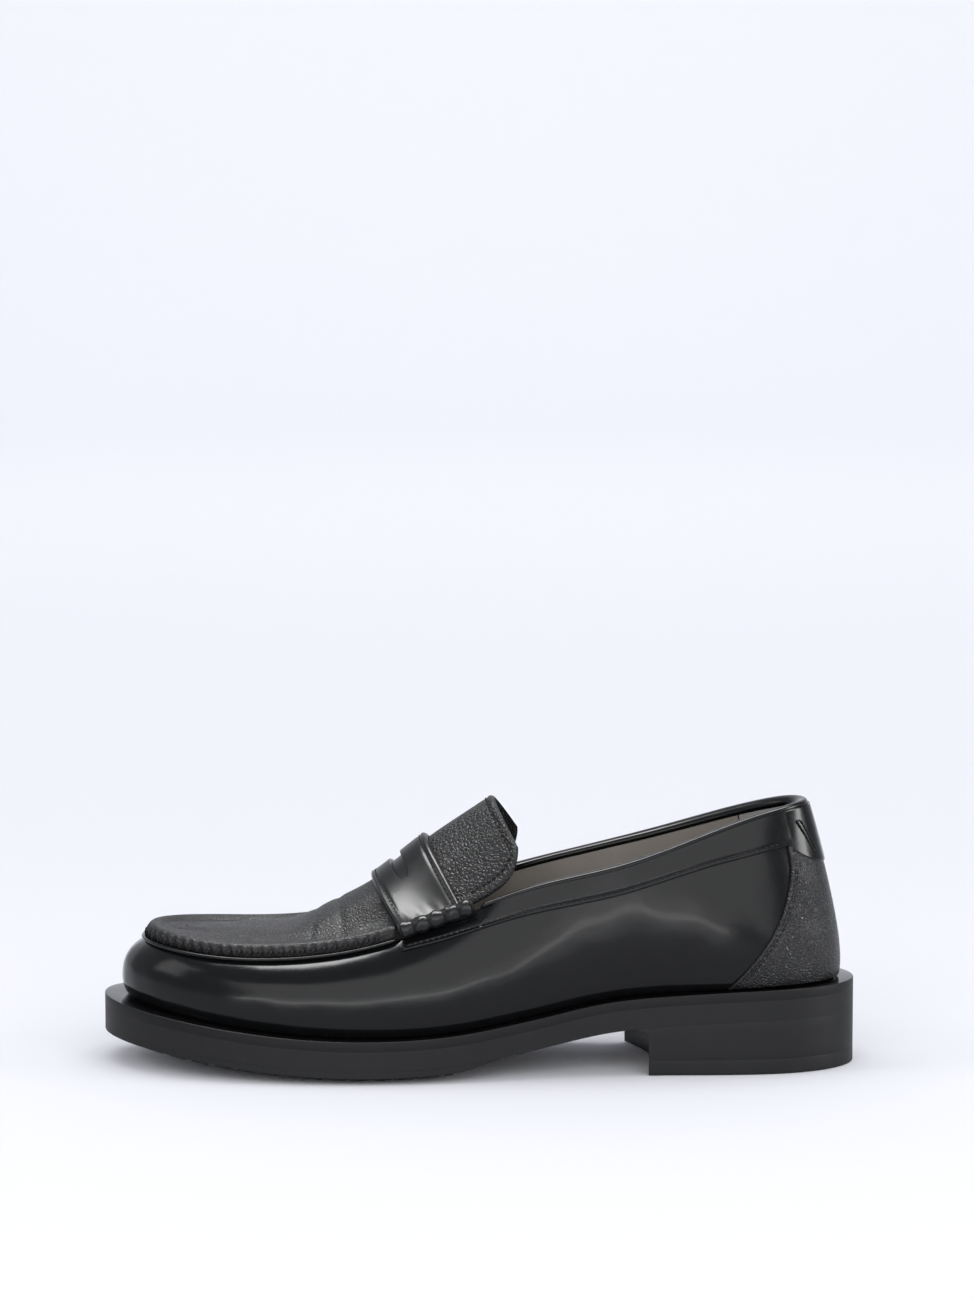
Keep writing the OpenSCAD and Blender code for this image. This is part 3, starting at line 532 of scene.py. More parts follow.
class Nodes:
    """A material's node tree, with the few patterns that its finishes share."""

    def __init__(self, name):
        self.material = bpy.data.materials.new(name)
        self.material.use_nodes = True
        self.tree = self.material.node_tree
        self.tree.nodes.clear()

    def add(self, kind, settings=None, inputs=None, output=0):
        """A node of a kind: its settings first, then numbers or links for its sockets."""
        node = self.tree.nodes.new(kind)
        for key, value in (settings or {}).items():
            setattr(node, key, value)
        for key, value in (inputs or {}).items():
            if isinstance(value, Value):
                self.tree.links.new(value.socket, node.inputs[key])
            else:
                node.inputs[key].default_value = value
        return Value(self, node.outputs[output])

    def place(self):
        """Object coordinates, in metres on the shoe."""
        return self.add("ShaderNodeTexCoord", output="Object")

    def stretch(self, place, scale):
        """The place scaled by axis, for marks that are long one way."""
        return self.add("ShaderNodeMapping", inputs={0: place, "Scale": scale})

    def noise(self, place, scale, detail=2.0, rough=0.5, warp=0.0):
        """Cloudy noise at a place, around 0.5."""
        return self.add("ShaderNodeTexNoise", {"noise_dimensions": "3D"},
                        {"Vector": place, "Scale": scale, "Detail": detail, "Roughness": rough,
                         "Distortion": warp})

    def cells(self, place, scale):
        """Distance to the edges of irregular cells."""
        return self.add("ShaderNodeTexVoronoi", {"feature": "DISTANCE_TO_EDGE"},
                        {"Vector": place, "Scale": scale, "Randomness": 1.0})

    def warped(self, place, scale, reach):
        """The place moved about by a slow noise, by up to reach metres."""
        push = self.add("ShaderNodeTexNoise", inputs={"Vector": place, "Scale": scale, "Detail": 1.0},
                        output="Color")
        push = self.add("ShaderNodeVectorMath", {"operation": "SUBTRACT"}, {0: push, 1: (0.5, 0.5, 0.5)})
        push = self.add("ShaderNodeVectorMath", {"operation": "MULTIPLY"}, {0: push, 1: (reach * 2,) * 3})
        return self.add("ShaderNodeVectorMath", {"operation": "ADD"}, {0: place, 1: push})

    def step(self, value, low, high, first=0.0, last=1.0):
        """Smooth step of a value from first at low to last at high."""
        return self.add("ShaderNodeMapRange", {"interpolation_type": "SMOOTHSTEP"},
                        {"Value": value, "From Min": low, "From Max": high, "To Min": first,
                         "To Max": last})

    def tone(self, factor, dark, light):
        """Colour between two tones."""
        node = self.tree.nodes.new("ShaderNodeMix")
        node.data_type = "RGBA"
        self.tree.links.new(factor.socket, node.inputs[0])
        node.inputs[6].default_value, node.inputs[7].default_value = (*dark, 1), (*light, 1)
        return Value(self, node.outputs[2])

    def bump(self, height, depth, strength=1.0, normal=None):
        """Normal of a height that reaches depth metres, over an earlier normal."""
        inputs = {"Height": height, "Distance": depth, "Strength": strength}
        if normal:
            inputs["Normal"] = normal
        return self.add("ShaderNodeBump", inputs=inputs)

    def finish(self, colour, roughness, normal=None, **constants):
        """The shader itself: what varies is linked, and the rest is set on its sockets."""
        inputs = {"Base Color": colour, "Roughness": roughness}
        if normal:
            inputs["Normal"] = normal
        for key, value in constants.items():
            inputs[key.replace("_", " ").title().replace("Ior", "IOR")] = value
        shader = self.add("ShaderNodeBsdfPrincipled", inputs=inputs)
        out = self.tree.nodes.new("ShaderNodeOutputMaterial")
        self.tree.links.new(shader.socket, out.inputs["Surface"])
        return self.material


def shade(colour, factor):
    """A colour made darker or lighter by a factor."""
    return tuple(c * factor for c in colour[:3])


def box_leather(name, colour, gloss, specular):
    """Polished smooth leather: near black, fine pores, faint waves, a clear waxed coat."""
    n = Nodes(name)
    place = n.place()
    waves = n.noise(place, 55.0, 2.0, 0.45, 0.6)
    pores = n.noise(place, 1500.0, 3.0, 0.6)
    cloud = n.noise(place, 160.0, 3.0, 0.55)
    grain = n.cells(n.warped(place, 700.0, 0.0004), 1900.0)
    normal = n.bump(waves, 0.0004, 0.4)
    normal = n.bump(n.step(grain, 0.0, 0.25) * 0.5 + pores * 0.6, 0.00003, 0.35, normal)
    return n.finish(n.tone(cloud, shade(colour, 0.75), shade(colour, 1.35)),
                    gloss + 0.07 * cloud + 0.03 * pores, normal,
                    coat_weight=0.04, coat_roughness=0.06, specular_ior_level=specular)


def milled_leather(name, colour, size=600.0, depth=0.0005, gloss=0.32):
    """Tumbled leather: pebbles parted by fine creases, satin on the pebbles, with painted shade in the
    creases and a painted highlight on the pebble tops.
    """
    n = Nodes(name)
    place = n.place()
    lead = n.warped(n.warped(place, 160.0, 0.0012), 900.0, 0.0003)
    edge = n.cells(lead, size)
    small = n.cells(lead, size * 2.3)
    pebble = n.step(edge, 0.0, 0.32)
    fine = n.step(small, 0.0, 0.3)
    patch = n.step(n.noise(place, 70.0, 2.0), 0.35, 0.65, 0.45, 1.0)
    height = (pebble * 0.88 + fine * 0.12) * patch
    normal = n.bump(n.noise(place, 90.0, 2.0), 0.0006, 0.5)
    normal = n.bump(height, depth, 0.8, normal)
    # The creases between the pebbles are painted darker as shade, and the pebble tops are painted lighter
    # as highlight.
    return n.finish(n.tone(pebble, shade(colour, 0.35), shade(colour, 1.25)),
                    gloss + 0.16 * (1 - pebble) + 0.06 * n.noise(place, 260.0), normal,
                    specular_ior_level=0.3)


def lining_leather(name, colour):
    """Unpolished lining leather: soft, matt, with faint blotches and a fine nap."""
    n = Nodes(name)
    place = n.place()
    blotch = n.noise(place, 60.0, 4.0, 0.6)
    nap = n.noise(place, 2200.0, 2.0, 0.6)
    normal = n.bump(nap * 0.6 + n.noise(place, 300.0, 3.0) * 0.6, 0.00008, 0.5)
    return n.finish(n.tone(blotch, shade(colour, 0.8), shade(colour, 1.15)), 0.62 + 0.15 * nap, normal,
                    specular_ior_level=0.3)


def waxed_thread(colour):
    """Waxed thread: dark, with a fine twist."""
    n = Nodes("thread")
    place = n.place()
    twist = n.noise(place, 3500.0, 1.0)
    return n.finish(n.tone(twist, shade(colour, 0.7), shade(colour, 1.4)), 0.5 + 0.2 * twist,
                    n.bump(twist, 0.00006, 0.6), specular_ior_level=0.2)


def edge_rubber(name, colour, gloss, lines=0.5, top_gloss=None):
    """Moulded and trimmed sole edge: satin, with fine level scratches from the trimming."""
    n = Nodes(name)
    place = n.place()
    scratch = n.noise(n.stretch(place, (40.0, 40.0, 2600.0)), 1.0, 3.0, 0.6)
    speck = n.noise(place, 1800.0, 2.0)
    cloud = n.noise(place, 90.0, 3.0)
    normal = n.bump(scratch * lines + speck * 0.3, 0.00005, 0.5)
    rough = gloss + 0.12 * scratch + 0.05 * cloud
    if top_gloss is not None:
        faces = n.add("ShaderNodeNewGeometry", output="Normal")
        up = n.add("ShaderNodeSeparateXYZ", inputs={0: faces}, output="Z")
        top = n.step(up, 0.75, 0.95)
        rough = rough * (1 - top) + top_gloss * top
    return n.finish(n.tone(cloud, shade(colour, 0.8), shade(colour, 1.25)), rough, normal,
                    specular_ior_level=0.2)


def cork_mass():
    """Pressed cork: tan grains with dark specks."""
    n = Nodes("cork")
    place = n.place()
    grain = n.cells(place, 420.0)
    return n.finish(n.tone(n.step(grain, 0.0, 0.2), (0.12, 0.06, 0.025), (0.42, 0.26, 0.12)),
                    0.85 + 0.1 * grain, n.bump(grain, 0.0004, 0.6))


def fibre_board(name, dark, light):
    """Board of pressed fibres."""
    n = Nodes(name)
    place = n.place()
    fibre = n.noise(n.stretch(place, (500.0, 1800.0, 1800.0)), 1.0, 4.0, 0.6)
    return n.finish(n.tone(fibre, dark, light), 0.75 + 0.15 * fibre, n.bump(fibre, 0.0001, 0.5))


def plain_steel():
    """Bare spring steel with a drawn finish."""
    n = Nodes("steel")
    place = n.place()
    drawn = n.noise(n.stretch(place, (60.0, 2400.0, 2400.0)), 1.0, 3.0)
    return n.finish(n.tone(drawn, (0.32, 0.32, 0.34), (0.5, 0.5, 0.52)), 0.28 + 0.15 * drawn,
                    n.bump(drawn, 0.00003, 0.4), metallic=1.0)


def floor_paper(colour):
    """Pale paper floor with a barely seen tooth."""
    n = Nodes("floor_paper")
    place = n.place()
    tooth = n.noise(place, 400.0, 2.0)
    return n.finish(n.tone(tooth, shade(colour, 0.995), shade(colour, 1.0)), 0.9 + 0.05 * tooth,
                    specular_ior_level=0.0)


FINISHES = {}


def finish(name):
    """The material of that name, made on first use with the colours of the panel."""
    looks = bpy.context.scene.loafer_finish
    makers = {
        "glossy_leather": lambda: box_leather("glossy_leather", looks.polished, 0.1, 0.2),
        "strap_leather": lambda: box_leather("strap_leather", looks.polished, 0.24, 0.3),
        "tumbled_leather": lambda: milled_leather("tumbled_leather", looks.tumbled),
        "apron_leather": lambda: milled_leather("apron_leather", looks.tumbled, 640.0, 0.00022, 0.36),
        "counter_leather": lambda: milled_leather("counter_leather", looks.tumbled, 800.0, 0.00035, 0.2),
        "lining_leather": lambda: lining_leather("lining_leather", looks.lining),
        "heel_grip_leather": lambda: lining_leather("heel_grip_leather", looks.grip),
        "thread": lambda: waxed_thread(looks.thread),
        "welt": lambda: edge_rubber("welt", looks.welt, 0.4, 0.3, top_gloss=0.1),
        "sole_rubber": lambda: edge_rubber("sole_rubber", looks.rubber, 0.42, 0.7),
        "cork": cork_mass,
        "steel": plain_steel,
        "insole_board": lambda: fibre_board("insole_board", (0.2, 0.13, 0.07), (0.38, 0.26, 0.15)),
        "stiffener": lambda: fibre_board("stiffener", (0.4, 0.38, 0.33), (0.6, 0.58, 0.52)),
    }
    if name not in FINISHES:
        FINISHES[name] = makers[name]()
    return FINISHES[name]


# ---------------------------------------------------------------- properties
def length(name, text, value):
    """A size for the panel, given in millimetres."""
    return bpy.props.FloatProperty(name=name, description=text, default=value * MM, min=0.0,
                                   unit="LENGTH", subtype="DISTANCE", precision=5)


def colour(name, text, value):
    """A colour for the panel."""
    return bpy.props.FloatVectorProperty(name=name, description=text, default=value, min=0.0, max=1.0,
                                         subtype="COLOR", size=3)


class LoaferSizes(bpy.types.PropertyGroup):
    """Sizes that a user would change."""
    leather: length("Leather", "Thickness of the upper leather", 1.5)
    lip: length("Lip", "How far the wall's turned edge stands out under the ridge", 2.4)
    pucker: length("Pucker", "How deep the hand sewing pulls the ridge in", 0.55)
    hand_pitch: length("Hand stitch pitch", "Spacing of the hand-sewn stitches on the apron", 4.2)
    machine_pitch: length("Machine stitch pitch", "Spacing of the machine stitches", 2.4)
    strap: length("Strap", "Thickness of the folded saddle strap", 2.0)
    roll: length("Roll", "Radius of the sewn roll at each end of the strap", 3.4)
    tread_pitch: length("Tread pitch", "Spacing of the tread's bars", 9.0)


class LoaferFinish(bpy.types.PropertyGroup):
    """Colours that a user would change."""
    polished: colour("Polished leather", "Colour of the smooth leather", (0.004, 0.0042, 0.0045))
    tumbled: colour("Tumbled leather", "Colour of the grained leather", (0.010, 0.010, 0.011))
    lining: colour("Lining", "Colour of the quarter lining", (0.25, 0.225, 0.198))
    grip: colour("Heel grip", "Colour of the lining behind the heel", (0.3, 0.285, 0.27))
    thread: colour("Thread", "Colour of the thread", (0.004, 0.004, 0.0045))
    welt: colour("Welt", "Colour of the welt", (0.005, 0.005, 0.0055))
    rubber: colour("Rubber", "Colour of the sole", (0.010, 0.010, 0.0105))
    floor: colour("Floor", "Colour of the floor", (0.93, 0.93, 0.965))


def sizes():
    """The sizes of the panel, in millimetres."""
    group = bpy.context.scene.loafer_sizes
    return {key: getattr(group, key) / MM for key in LoaferSizes.__annotations__}


# ---------------------------------------------------------------- the bottom
def rim(u, section):
    """Section of [inset, drop] carried round the sole, hung from the welt's upper face."""
    inset, drop = np.array(section, float).T
    p = sole_edge(u[:, None] + 0 * inset, inset + 0 * u[:, None])
    p[..., 2] = welt_z(p[..., 0]) - drop
    return p


def rounded_box(a, b, low, high, r, far_r, count=5):
    """Closed section of a box from a to b wide and low to high, with corners of radius r at
    low and of far_r at high."""
    turn = np.linspace(0, 90, count)
    corners = [(b - far_r, high - far_r, 0, far_r), (a + far_r, high - far_r, 90, far_r),
               (a + r, low + r, 180, r), (b - r, low + r, 270, r)]
    return [[x + q * math.cos(math.radians(t + s)), z + q * math.sin(math.radians(t + s))]
            for x, z, s, q in corners for t in turn]


def platter(shape, u, section, low, high, rows=24, ahead=-112, behind=118):
    """Solid layer of the bottom: its side is a section of [inset, level] round the sole, and
    rows run in from both of its edges to the middle line. low and high give its faces'
    heights over x. A layer that doesn't go all the way round is closed by a lid at its end."""
    inset, level = np.array(section, float).T
    side = sole_edge(u[:, None] + 0 * inset, inset + 0 * u[:, None])
    side[..., 2] = mix(low(side[..., 0]), high(side[..., 0]), level)
    f = np.linspace(0, 1, rows)[None, 1:, None]

    def cap(edge, height):
        spine = np.stack([np.clip(edge[:, 0], ahead, behind), 0 * edge[:, 0], 0 * edge[:, 0]], -1)
        p = mix(edge[:, None], spine[:, None], f)
        p[..., 2] = height(p[..., 0])
        return p
    rings = np.concatenate([cap(side[:, 0], low)[:, ::-1], side, cap(side[:, -1], high)], 1)
    whole = u[-1] - u[0] > STATIONS - 0.5
    ids = numbered(rings, whole)
    quads = grid_quads(ids)
    if not whole:
        for line, turn in ((ids[0], 1), (ids[-1], -1)):
            half = len(line) // 2
            a, b = line[:half], line[::-1][:half]
            lid = np.stack([a[:-1], b[:-1], b[1:], a[1:]], -1)[:, ::turn]
            quads = np.vstack([quads, lid])
    shape.add(rings, quads)


def side_section(r, inset):
    """Side of a layer as [inset, level]: round at its lower and upper edge."""
    turn = np.radians(np.linspace(0, 90, 5))
    low = [[inset + r * (1 - math.sin(a)), 0.06 * (1 - math.cos(a))] for a in turn]
    high = [[i, 1 - v] for i, v in low[::-1]]
    return low + [[inset, v] for v in (0.2, 0.4, 0.6, 0.8)] + high


def closed(count=720):
    """Stations all round the shoe."""
    return np.linspace(0, STATIONS, count, endpoint=False)


def make_welt():
    """The welt: a flat strip with round edges, all round the sole."""
    shape = Shape()
    shape.tube(rim(closed(), rounded_box(SIDE_INSET, 1.2 + WELT_RING, 0, WELT, 0.35, 0.03)), close=True)
    shape.make("welt", "welt")


def under_midsole(x):
    """Height of the midsole's lower face at x."""
    return welt_z(x) - BOTTOM


def make_midsole():
    """The midsole: the deep trimmed layer under the welt."""
    shape = Shape()
    platter(shape, closed(), side_section(0.03, SIDE_INSET), under_midsole, lambda x: welt_z(x) - WELT)
    shape.make("midsole", "sole_rubber")


def stations_at(x, inset, side):
    """Stations at which the plan, inset from the sole's edge, reaches x on one side."""
    u = np.linspace(0.5, TOE, 1500) if side < 0 else np.linspace(TOE, STATIONS - 0.5, 1500)
    place = sole_edge(u, np.full(len(u), inset))[:, 0]
    order = np.argsort(place)
    return np.interp(x, place[order], u[order])


def make_outsole():
    """The outsole: a thin layer under the forepart that fades out under the waist."""
    end = 8.8
    shape = Shape()
    first, last = stations_at(end, 0.2, -1), stations_at(end, 0.2, 1)

    def low(x):
        return under_midsole(x) - 0.08 - OUTSOLE * np.clip((end + 1.2 - x) / 16, 0.05, 1)
    platter(shape, np.linspace(first, last, 420), side_section(0.05, SIDE_INSET), low,
            lambda x: under_midsole(x) - 0.02, behind=end)
    shape.make("outsole", "sole_rubber")


def make_tread(size):
    """The forepart's tread: bars across the sole, with grooves between them."""
    inset, front, rear, width, depth = 7, -141.6, -10, 2.5, 1.4
    starts = np.arange(-142 + size["tread_pitch"], rear - width, size["tread_pitch"])
    corners = np.concatenate([[s, s + 0.25, s + width - 0.25, s + width] for s in starts])
    level = np.tile([0, 1, 1, 0], len(starts)) * depth
    places = np.concatenate([[front, front + 0.4, front + 1.2, front + 2.5, front + 5], corners,
                             (corners[3:-1:4] + corners[4::4]) / 2, [rear]])
    cut = np.interp(places, corners, level)
    order = np.argsort(places)
    places, cut = places[order], cut[order]
    ends = [sole_edge(stations_at(places, inset, side), np.full(len(places), inset)) for side in (-1, 1)]
    f = np.linspace(0, 1, 25)[None, :, None]
    base = mix(ends[0][:, None], ends[1][:, None], f)
    base[..., 0] = places[:, None]
    under = under_midsole(base[..., 0]) - OUTSOLE
    edge = np.minimum(np.arange(25), 24 - np.arange(25))[None] > 0
    outer, inner = base.copy(), base.copy()
    outer[..., 2] = under - TREAD + np.where(edge, cut[:, None], np.maximum(cut[:, None], 0.25))
    inner[..., 2] = under - 0.05
    shape = Shape()
    shape.slab(outer, inner)
    shape.make("forepart_tread", "sole_rubber", sharp=30)


def heel_plan(inset, count=260):
    """Outline of the heel seen from above: the sole's edge behind the hollow front face,
    closed by that face, which is part of a circle."""
    u = np.linspace(-5, 5, 2400)
    p = sole_edge(u, np.full(len(u), inset))[:, :2]
    keep = np.hypot(p[:, 0] - BREAST[0], p[:, 1] - BREAST[1]) > BREAST[2]
    p = p[keep]
    a, b = (np.arctan2(q[1] - BREAST[1], q[0] - BREAST[0]) for q in (p[-1], p[0]))
    turn = np.linspace(a, b, 60)[1:-1]
    face = np.stack([BREAST[0] + BREAST[2] * np.cos(turn), BREAST[1] + BREAST[2] * np.sin(turn)], -1)
    at = np.linspace(0, len(p) - 1, count)
    p = np.stack([np.interp(at, np.arange(len(p)), p[:, i]) for i in (0, 1)], -1)
    return np.vstack([p, face])


def heel_layer(low, high, r, rows):
    """One layer of the heel: its outline drawn in at both edges, with rows to its middle."""
    outline = heel_plan(SIDE_INSET)
    centre = np.array([104.0, -2.0])
    turn = np.radians(np.linspace(0, 90, 5))
    bottom = [[r * (1 - math.sin(a)), r * (1 - math.cos(a)), 0] for a in turn]
    top = [[i, -d, 1] for i, d, _ in bottom[::-1]]
    section = bottom + [[0, 0, v] for v in rows] + top
    fractions = np.linspace(0, 1, 12)[1:]
    reach = unit(outline - centre)
    lines = []
    for inward, lift, level in section:
        xy = outline - reach * inward
        z = mix(low(xy[:, 0]), high(xy[:, 0]), level) + lift
        lines.append(np.column_stack([xy, z]))

    def cap(line, height):
        xy = mix(line[None, :, :2], centre, fractions[:, None, None])
        return list(np.concatenate([xy, height(xy[..., :1])], -1))
    lines = cap(lines[0], low)[::-1] + lines + cap(lines[-1], high)
    shape = Shape()
    shape.tube(np.array(lines))
    return shape


def make_heel():
    """The heel: a moulded block and the hard-wearing top piece under it."""
    shape = heel_layer(lambda x: 0 * x + HEEL_TOP + 0.02, under_midsole, 0.03, (0.25, 0.5, 0.75))
    shape.make("heel_block", "sole_rubber")
    shape = heel_layer(lambda x: 0 * x, lambda x: 0 * x + HEEL_TOP, 0.12, (0.3, 0.6))
    shape.make("heel_top_piece", "sole_rubber")


def edge_between(side, rows):
    """x and y of a layer's edge between two stations, in order of x."""
    count = len(side) / STATIONS
    part = side[int(rows[0] * count):int(rows[1] * count), 0, :2]
    order = np.argsort(part[:, 0])
    return part[order, 0], part[order, 1]


def make_footbed(size):
    """The sock lining over the insole, and the soft pad under the heel.
    Each has an edge rounded on top. The pad ends in front at PAD_FRONT."""
    u = closed(480)
    inner = ring(FEATHER_K, u) + size["leather"] + STIFFENER + LINING + 0.8
    turn = np.radians(np.linspace(0, 90, 6))
    f = np.linspace(0, 1, 20)[None, 1:, None]
    # Node, slot, inset from the lining, height of its foot over the welt, thickness, radius
    for node, skin, extra, base, thick, r in (
            ("sock_lining", "lining_leather", 0.4, 2.7, LINING, 0.5),
            ("heel_pad", "heel_grip_leather", 3.0, 3.7, 1.5, 1.2)):
        pad = node == "heel_pad"
        drawn, level = np.array([[0, 0]] + [[r * (1 - math.cos(a)), math.sin(a)] for a in turn]).T
        inset = drawn + inner[:, None] + extra
        side = sole_edge(u[:, None] + 0 * inset, inset)
        if pad:
            front = PAD_FRONT + drawn
            width = [np.interp(PAD_FRONT, *edge_between(side, rows)) for rows in ((1, 8), (16, 23))]
            cut = side[..., 0] < front
            side[..., 1] = np.where(cut, np.clip(side[..., 1], *width), side[..., 1])
            side[..., 0] = np.maximum(side[..., 0], front)
        side[..., 2] = welt_z(side[..., 0]) + base + thick * level

        def cap(edge, lift):
            ahead = PAD_FRONT + r if pad else -112
            spine = np.stack([np.clip(edge[:, 0], ahead, 118), 0 * edge[:, 0], 0 * edge[:, 0]], -1)
            p = mix(edge[:, None], spine[:, None], f)
            p[..., 2] = welt_z(p[..., 0]) + base + lift
            return p
        rings = np.concatenate([cap(side[:, 0], 0)[:, ::-1], side, cap(side[:, -1], thick)], 1)
        shape = Shape()
        shape.add(rings, grid_quads(numbered(rings, True)))
        piece = shape.make(node, skin)


# ---------------------------------------------------------------- the upper
def ridge_part(x):
    """How much of the apron's raised ridge there is at x: none under the strap."""
    return eased((-28 - x) / 7)


def make_vamp(size):
    """The vamp: the one-piece wall, its foot on the welt and its edge turned out as a lip."""
    u = closed(760)
    t = np.concatenate([[0, 0.008, 0.02, 0.04, 0.07], np.linspace(0.1, 0.9, 25),
                        [0.93, 0.955, 0.975, 0.99, 1]])
    outer = wall(u[:, None], t, np.zeros(1))
    inner = wall(u[:, None], t, np.full(1, -size["leather"]))
    part = np.maximum(ridge_part(ring(TOP_K, u)[:, 0]), 0.02)[:, None, None]
    lip = path(LIP, 14) * [size["lip"] / 2.4, 1]
    out = outward(u)[:, None]

    def rise(start, across, up):
        return start + out * across[:, None] * part + np.array([0, 0, 1]) * up[:, None] * part
    outer = np.concatenate([outer, rise(outer[:, -1:], lip[:, 0], lip[:, 1])], 1)
    height = np.linspace(0.08, 1.2, len(lip))
    inner = np.concatenate([inner, rise(inner[:, -1:], 0 * height, height)], 1)
    shape = Shape()
    shape.slab(outer, inner, close=True)
    shape.make("vamp", "glossy_leather", sharp=60)


def seam_length():
    """Distance along the wall's upper edge, as tables of station and millimetres."""
    u = np.linspace(0, STATIONS, 2401)
    steps = np.linalg.norm(np.diff(ring(TOP_K, u), axis=0), axis=1)
    return u, np.concatenate([[0], np.cumsum(steps)])


def hand_stitches(size):
    """Stations of the hand-sewn stitches."""
    u, far = seam_length()
    first, last = np.interp([7.05, 17.4], u, far)
    return np.interp(np.arange(first, last, size["hand_pitch"]), far, u)


def apron_half(u, spine, size):
    """Half of the apron: over the ridge's section from the seam, and then in to the middle
    line at x = spine, which bends over to the tip of the toe. The sewing pulls the ridge's
    outer side in at each stitch. Between the ridges the leather bulges up towards the toe,
    and creases cross it in front of the strap, each as deep as a bell curve."""
    n = outward(u)
    top = ring(TOP_K, u)
    part = ridge_part(top[:, 0])
    tuck = 6 * eased((top[:, 0] + 33.5) / 8)
    section = path(RIDGE, 27)
    stations, far = seam_length()
    sewn = hand_stitches(size)
    phase = (np.interp(u, stations, far) - np.interp(sewn[0], stations, far)) / size["hand_pitch"]
    inside = eased((u - sewn[0]) * 8 + 1) * eased((sewn[-1] - u) * 8 + 1)
    pull = size["pucker"] * np.cos(2 * np.pi * phase) * inside * part
    flank = np.exp(-((section[:, 1] - 2.0) / 1.5) ** 2) * (np.arange(len(section)) < 15)
    across = section[:, 0] * np.maximum(part, 0.3)[:, None] - tuck[:, None] - pull[:, None] * flank
    across = across - 0.3 * part[:, None] * flank
    p = top[:, None] + n[:, None] * across[..., None]
    p[..., 2] = mix(instep_z(p[..., 0], p[..., 1]), top[:, None, 2] + 1.4 + section[:, 1], part[:, None])
    valley = p[:, -1]
    f = np.linspace(0, 1, 25)[None, 1:]
    bend = np.clip((SPINE_BEND - spine) / (SPINE_BEND - TOP[TOE][0]), 0, 1)
    middle = np.stack([spine, TOP[TOE][1] * bend, 0 * spine], -1)
    q = mix(valley[:, None], middle[:, None], f[..., None])
    q[..., 2] = mix(valley[:, None, 2], instep_z(q[..., 0], q[..., 1]), eased(f * 2))
    q[..., 2] += BULGE * eased((-66 - q[..., 0]) / 30) * eased(1.4 * f)
    for place, slant, deep in CREASES:
        across = (q[..., 0] - place - slant * np.abs(q[..., 1])) / CREASE_HALF
        q[..., 2] -= deep * np.exp(-across ** 2) * eased((34 - np.abs(q[..., 1])) / 12)
    return np.concatenate([p, q], 1)


def apron_grid(size, count=300):
    """Both halves of the apron as one grid, from the tip of the toe back under the strap."""
    s = np.linspace(0, 1, count)
    spine = mix(-116, -27, s)
    medial = apron_half(mix(TOE, 18.42, s), spine, size)
    lateral = apron_half(mix(TOE, 6.18, s), spine, size)
    return np.concatenate([medial, lateral[:, -2::-1]], 1)


def grid_normals(g, fold=False):
    """Normals of a grid from its neighbours. A folded grid's first line meets itself."""
    before = np.concatenate([g[1:2, ::-1] if fold else g[:1], g[:-1]])
    after = np.concatenate([g[1:], g[-1:]])
    left = np.concatenate([g[:, :1], g[:, :-1]], 1)
    right = np.concatenate([g[:, 1:], g[:, -1:]], 1)
    return unit(np.cross(right - left, after - before))


def make_apron(size):
    """The apron: tumbled leather over the toes, with its rolled and hand-sewn ridge."""
    grid = apron_grid(size)
    shape = Shape()
    shape.slab(grid, grid - size["leather"] * grid_normals(grid, True))
    shape.make("apron", "apron_leather", "tumbled_leather", sharp=60)


def make_hand_sewing(size):
    """The hand-sewn stitches: short thick threads across the ridge's foot, leaning along it."""
    u = hand_stitches(size)
    n = outward(u)
    along = unit(ring(TOP_K, u + 0.02) - ring(TOP_K, u - 0.02))
    start = ring(TOP_K, u) + n * 1.1 + [0, 0, 1.0]
    s = np.linspace(0, 1, 9)
    line = (start[:, None] + along[:, None] * (0.5 - s[None, :, None]) * 1.0
            + np.array([0, 0, 1]) * (s * 2.6)[None, :, None]
            - n[:, None] * (1.3 * (s - 0.35) ** 2 + 0.35)[None, :, None])
    turn = np.radians(np.arange(8) * 45)
    fat = 0.5 * np.sqrt(np.clip(1 - (2 * s - 1) ** 6, 0.1, 1))
    rings = (line[:, :, None] + (n[:, None, None] * np.cos(turn)[None, None, :, None]
             + along[:, None, None] * np.sin(turn)[None, None, :, None]) * fat[None, :, None, None])
    shape = Shape()
    shape.tubes(rings)
    shape.make("apron_stitches", "thread")


def strap_point(x, y, off):
    """Point off the strap's base, which leaves the instep towards the rolls at its ends."""
    return instep(x, y, STRAP_BASE + 1.4 * (np.abs(y) / INSTEP_HALF) ** 8 + off)


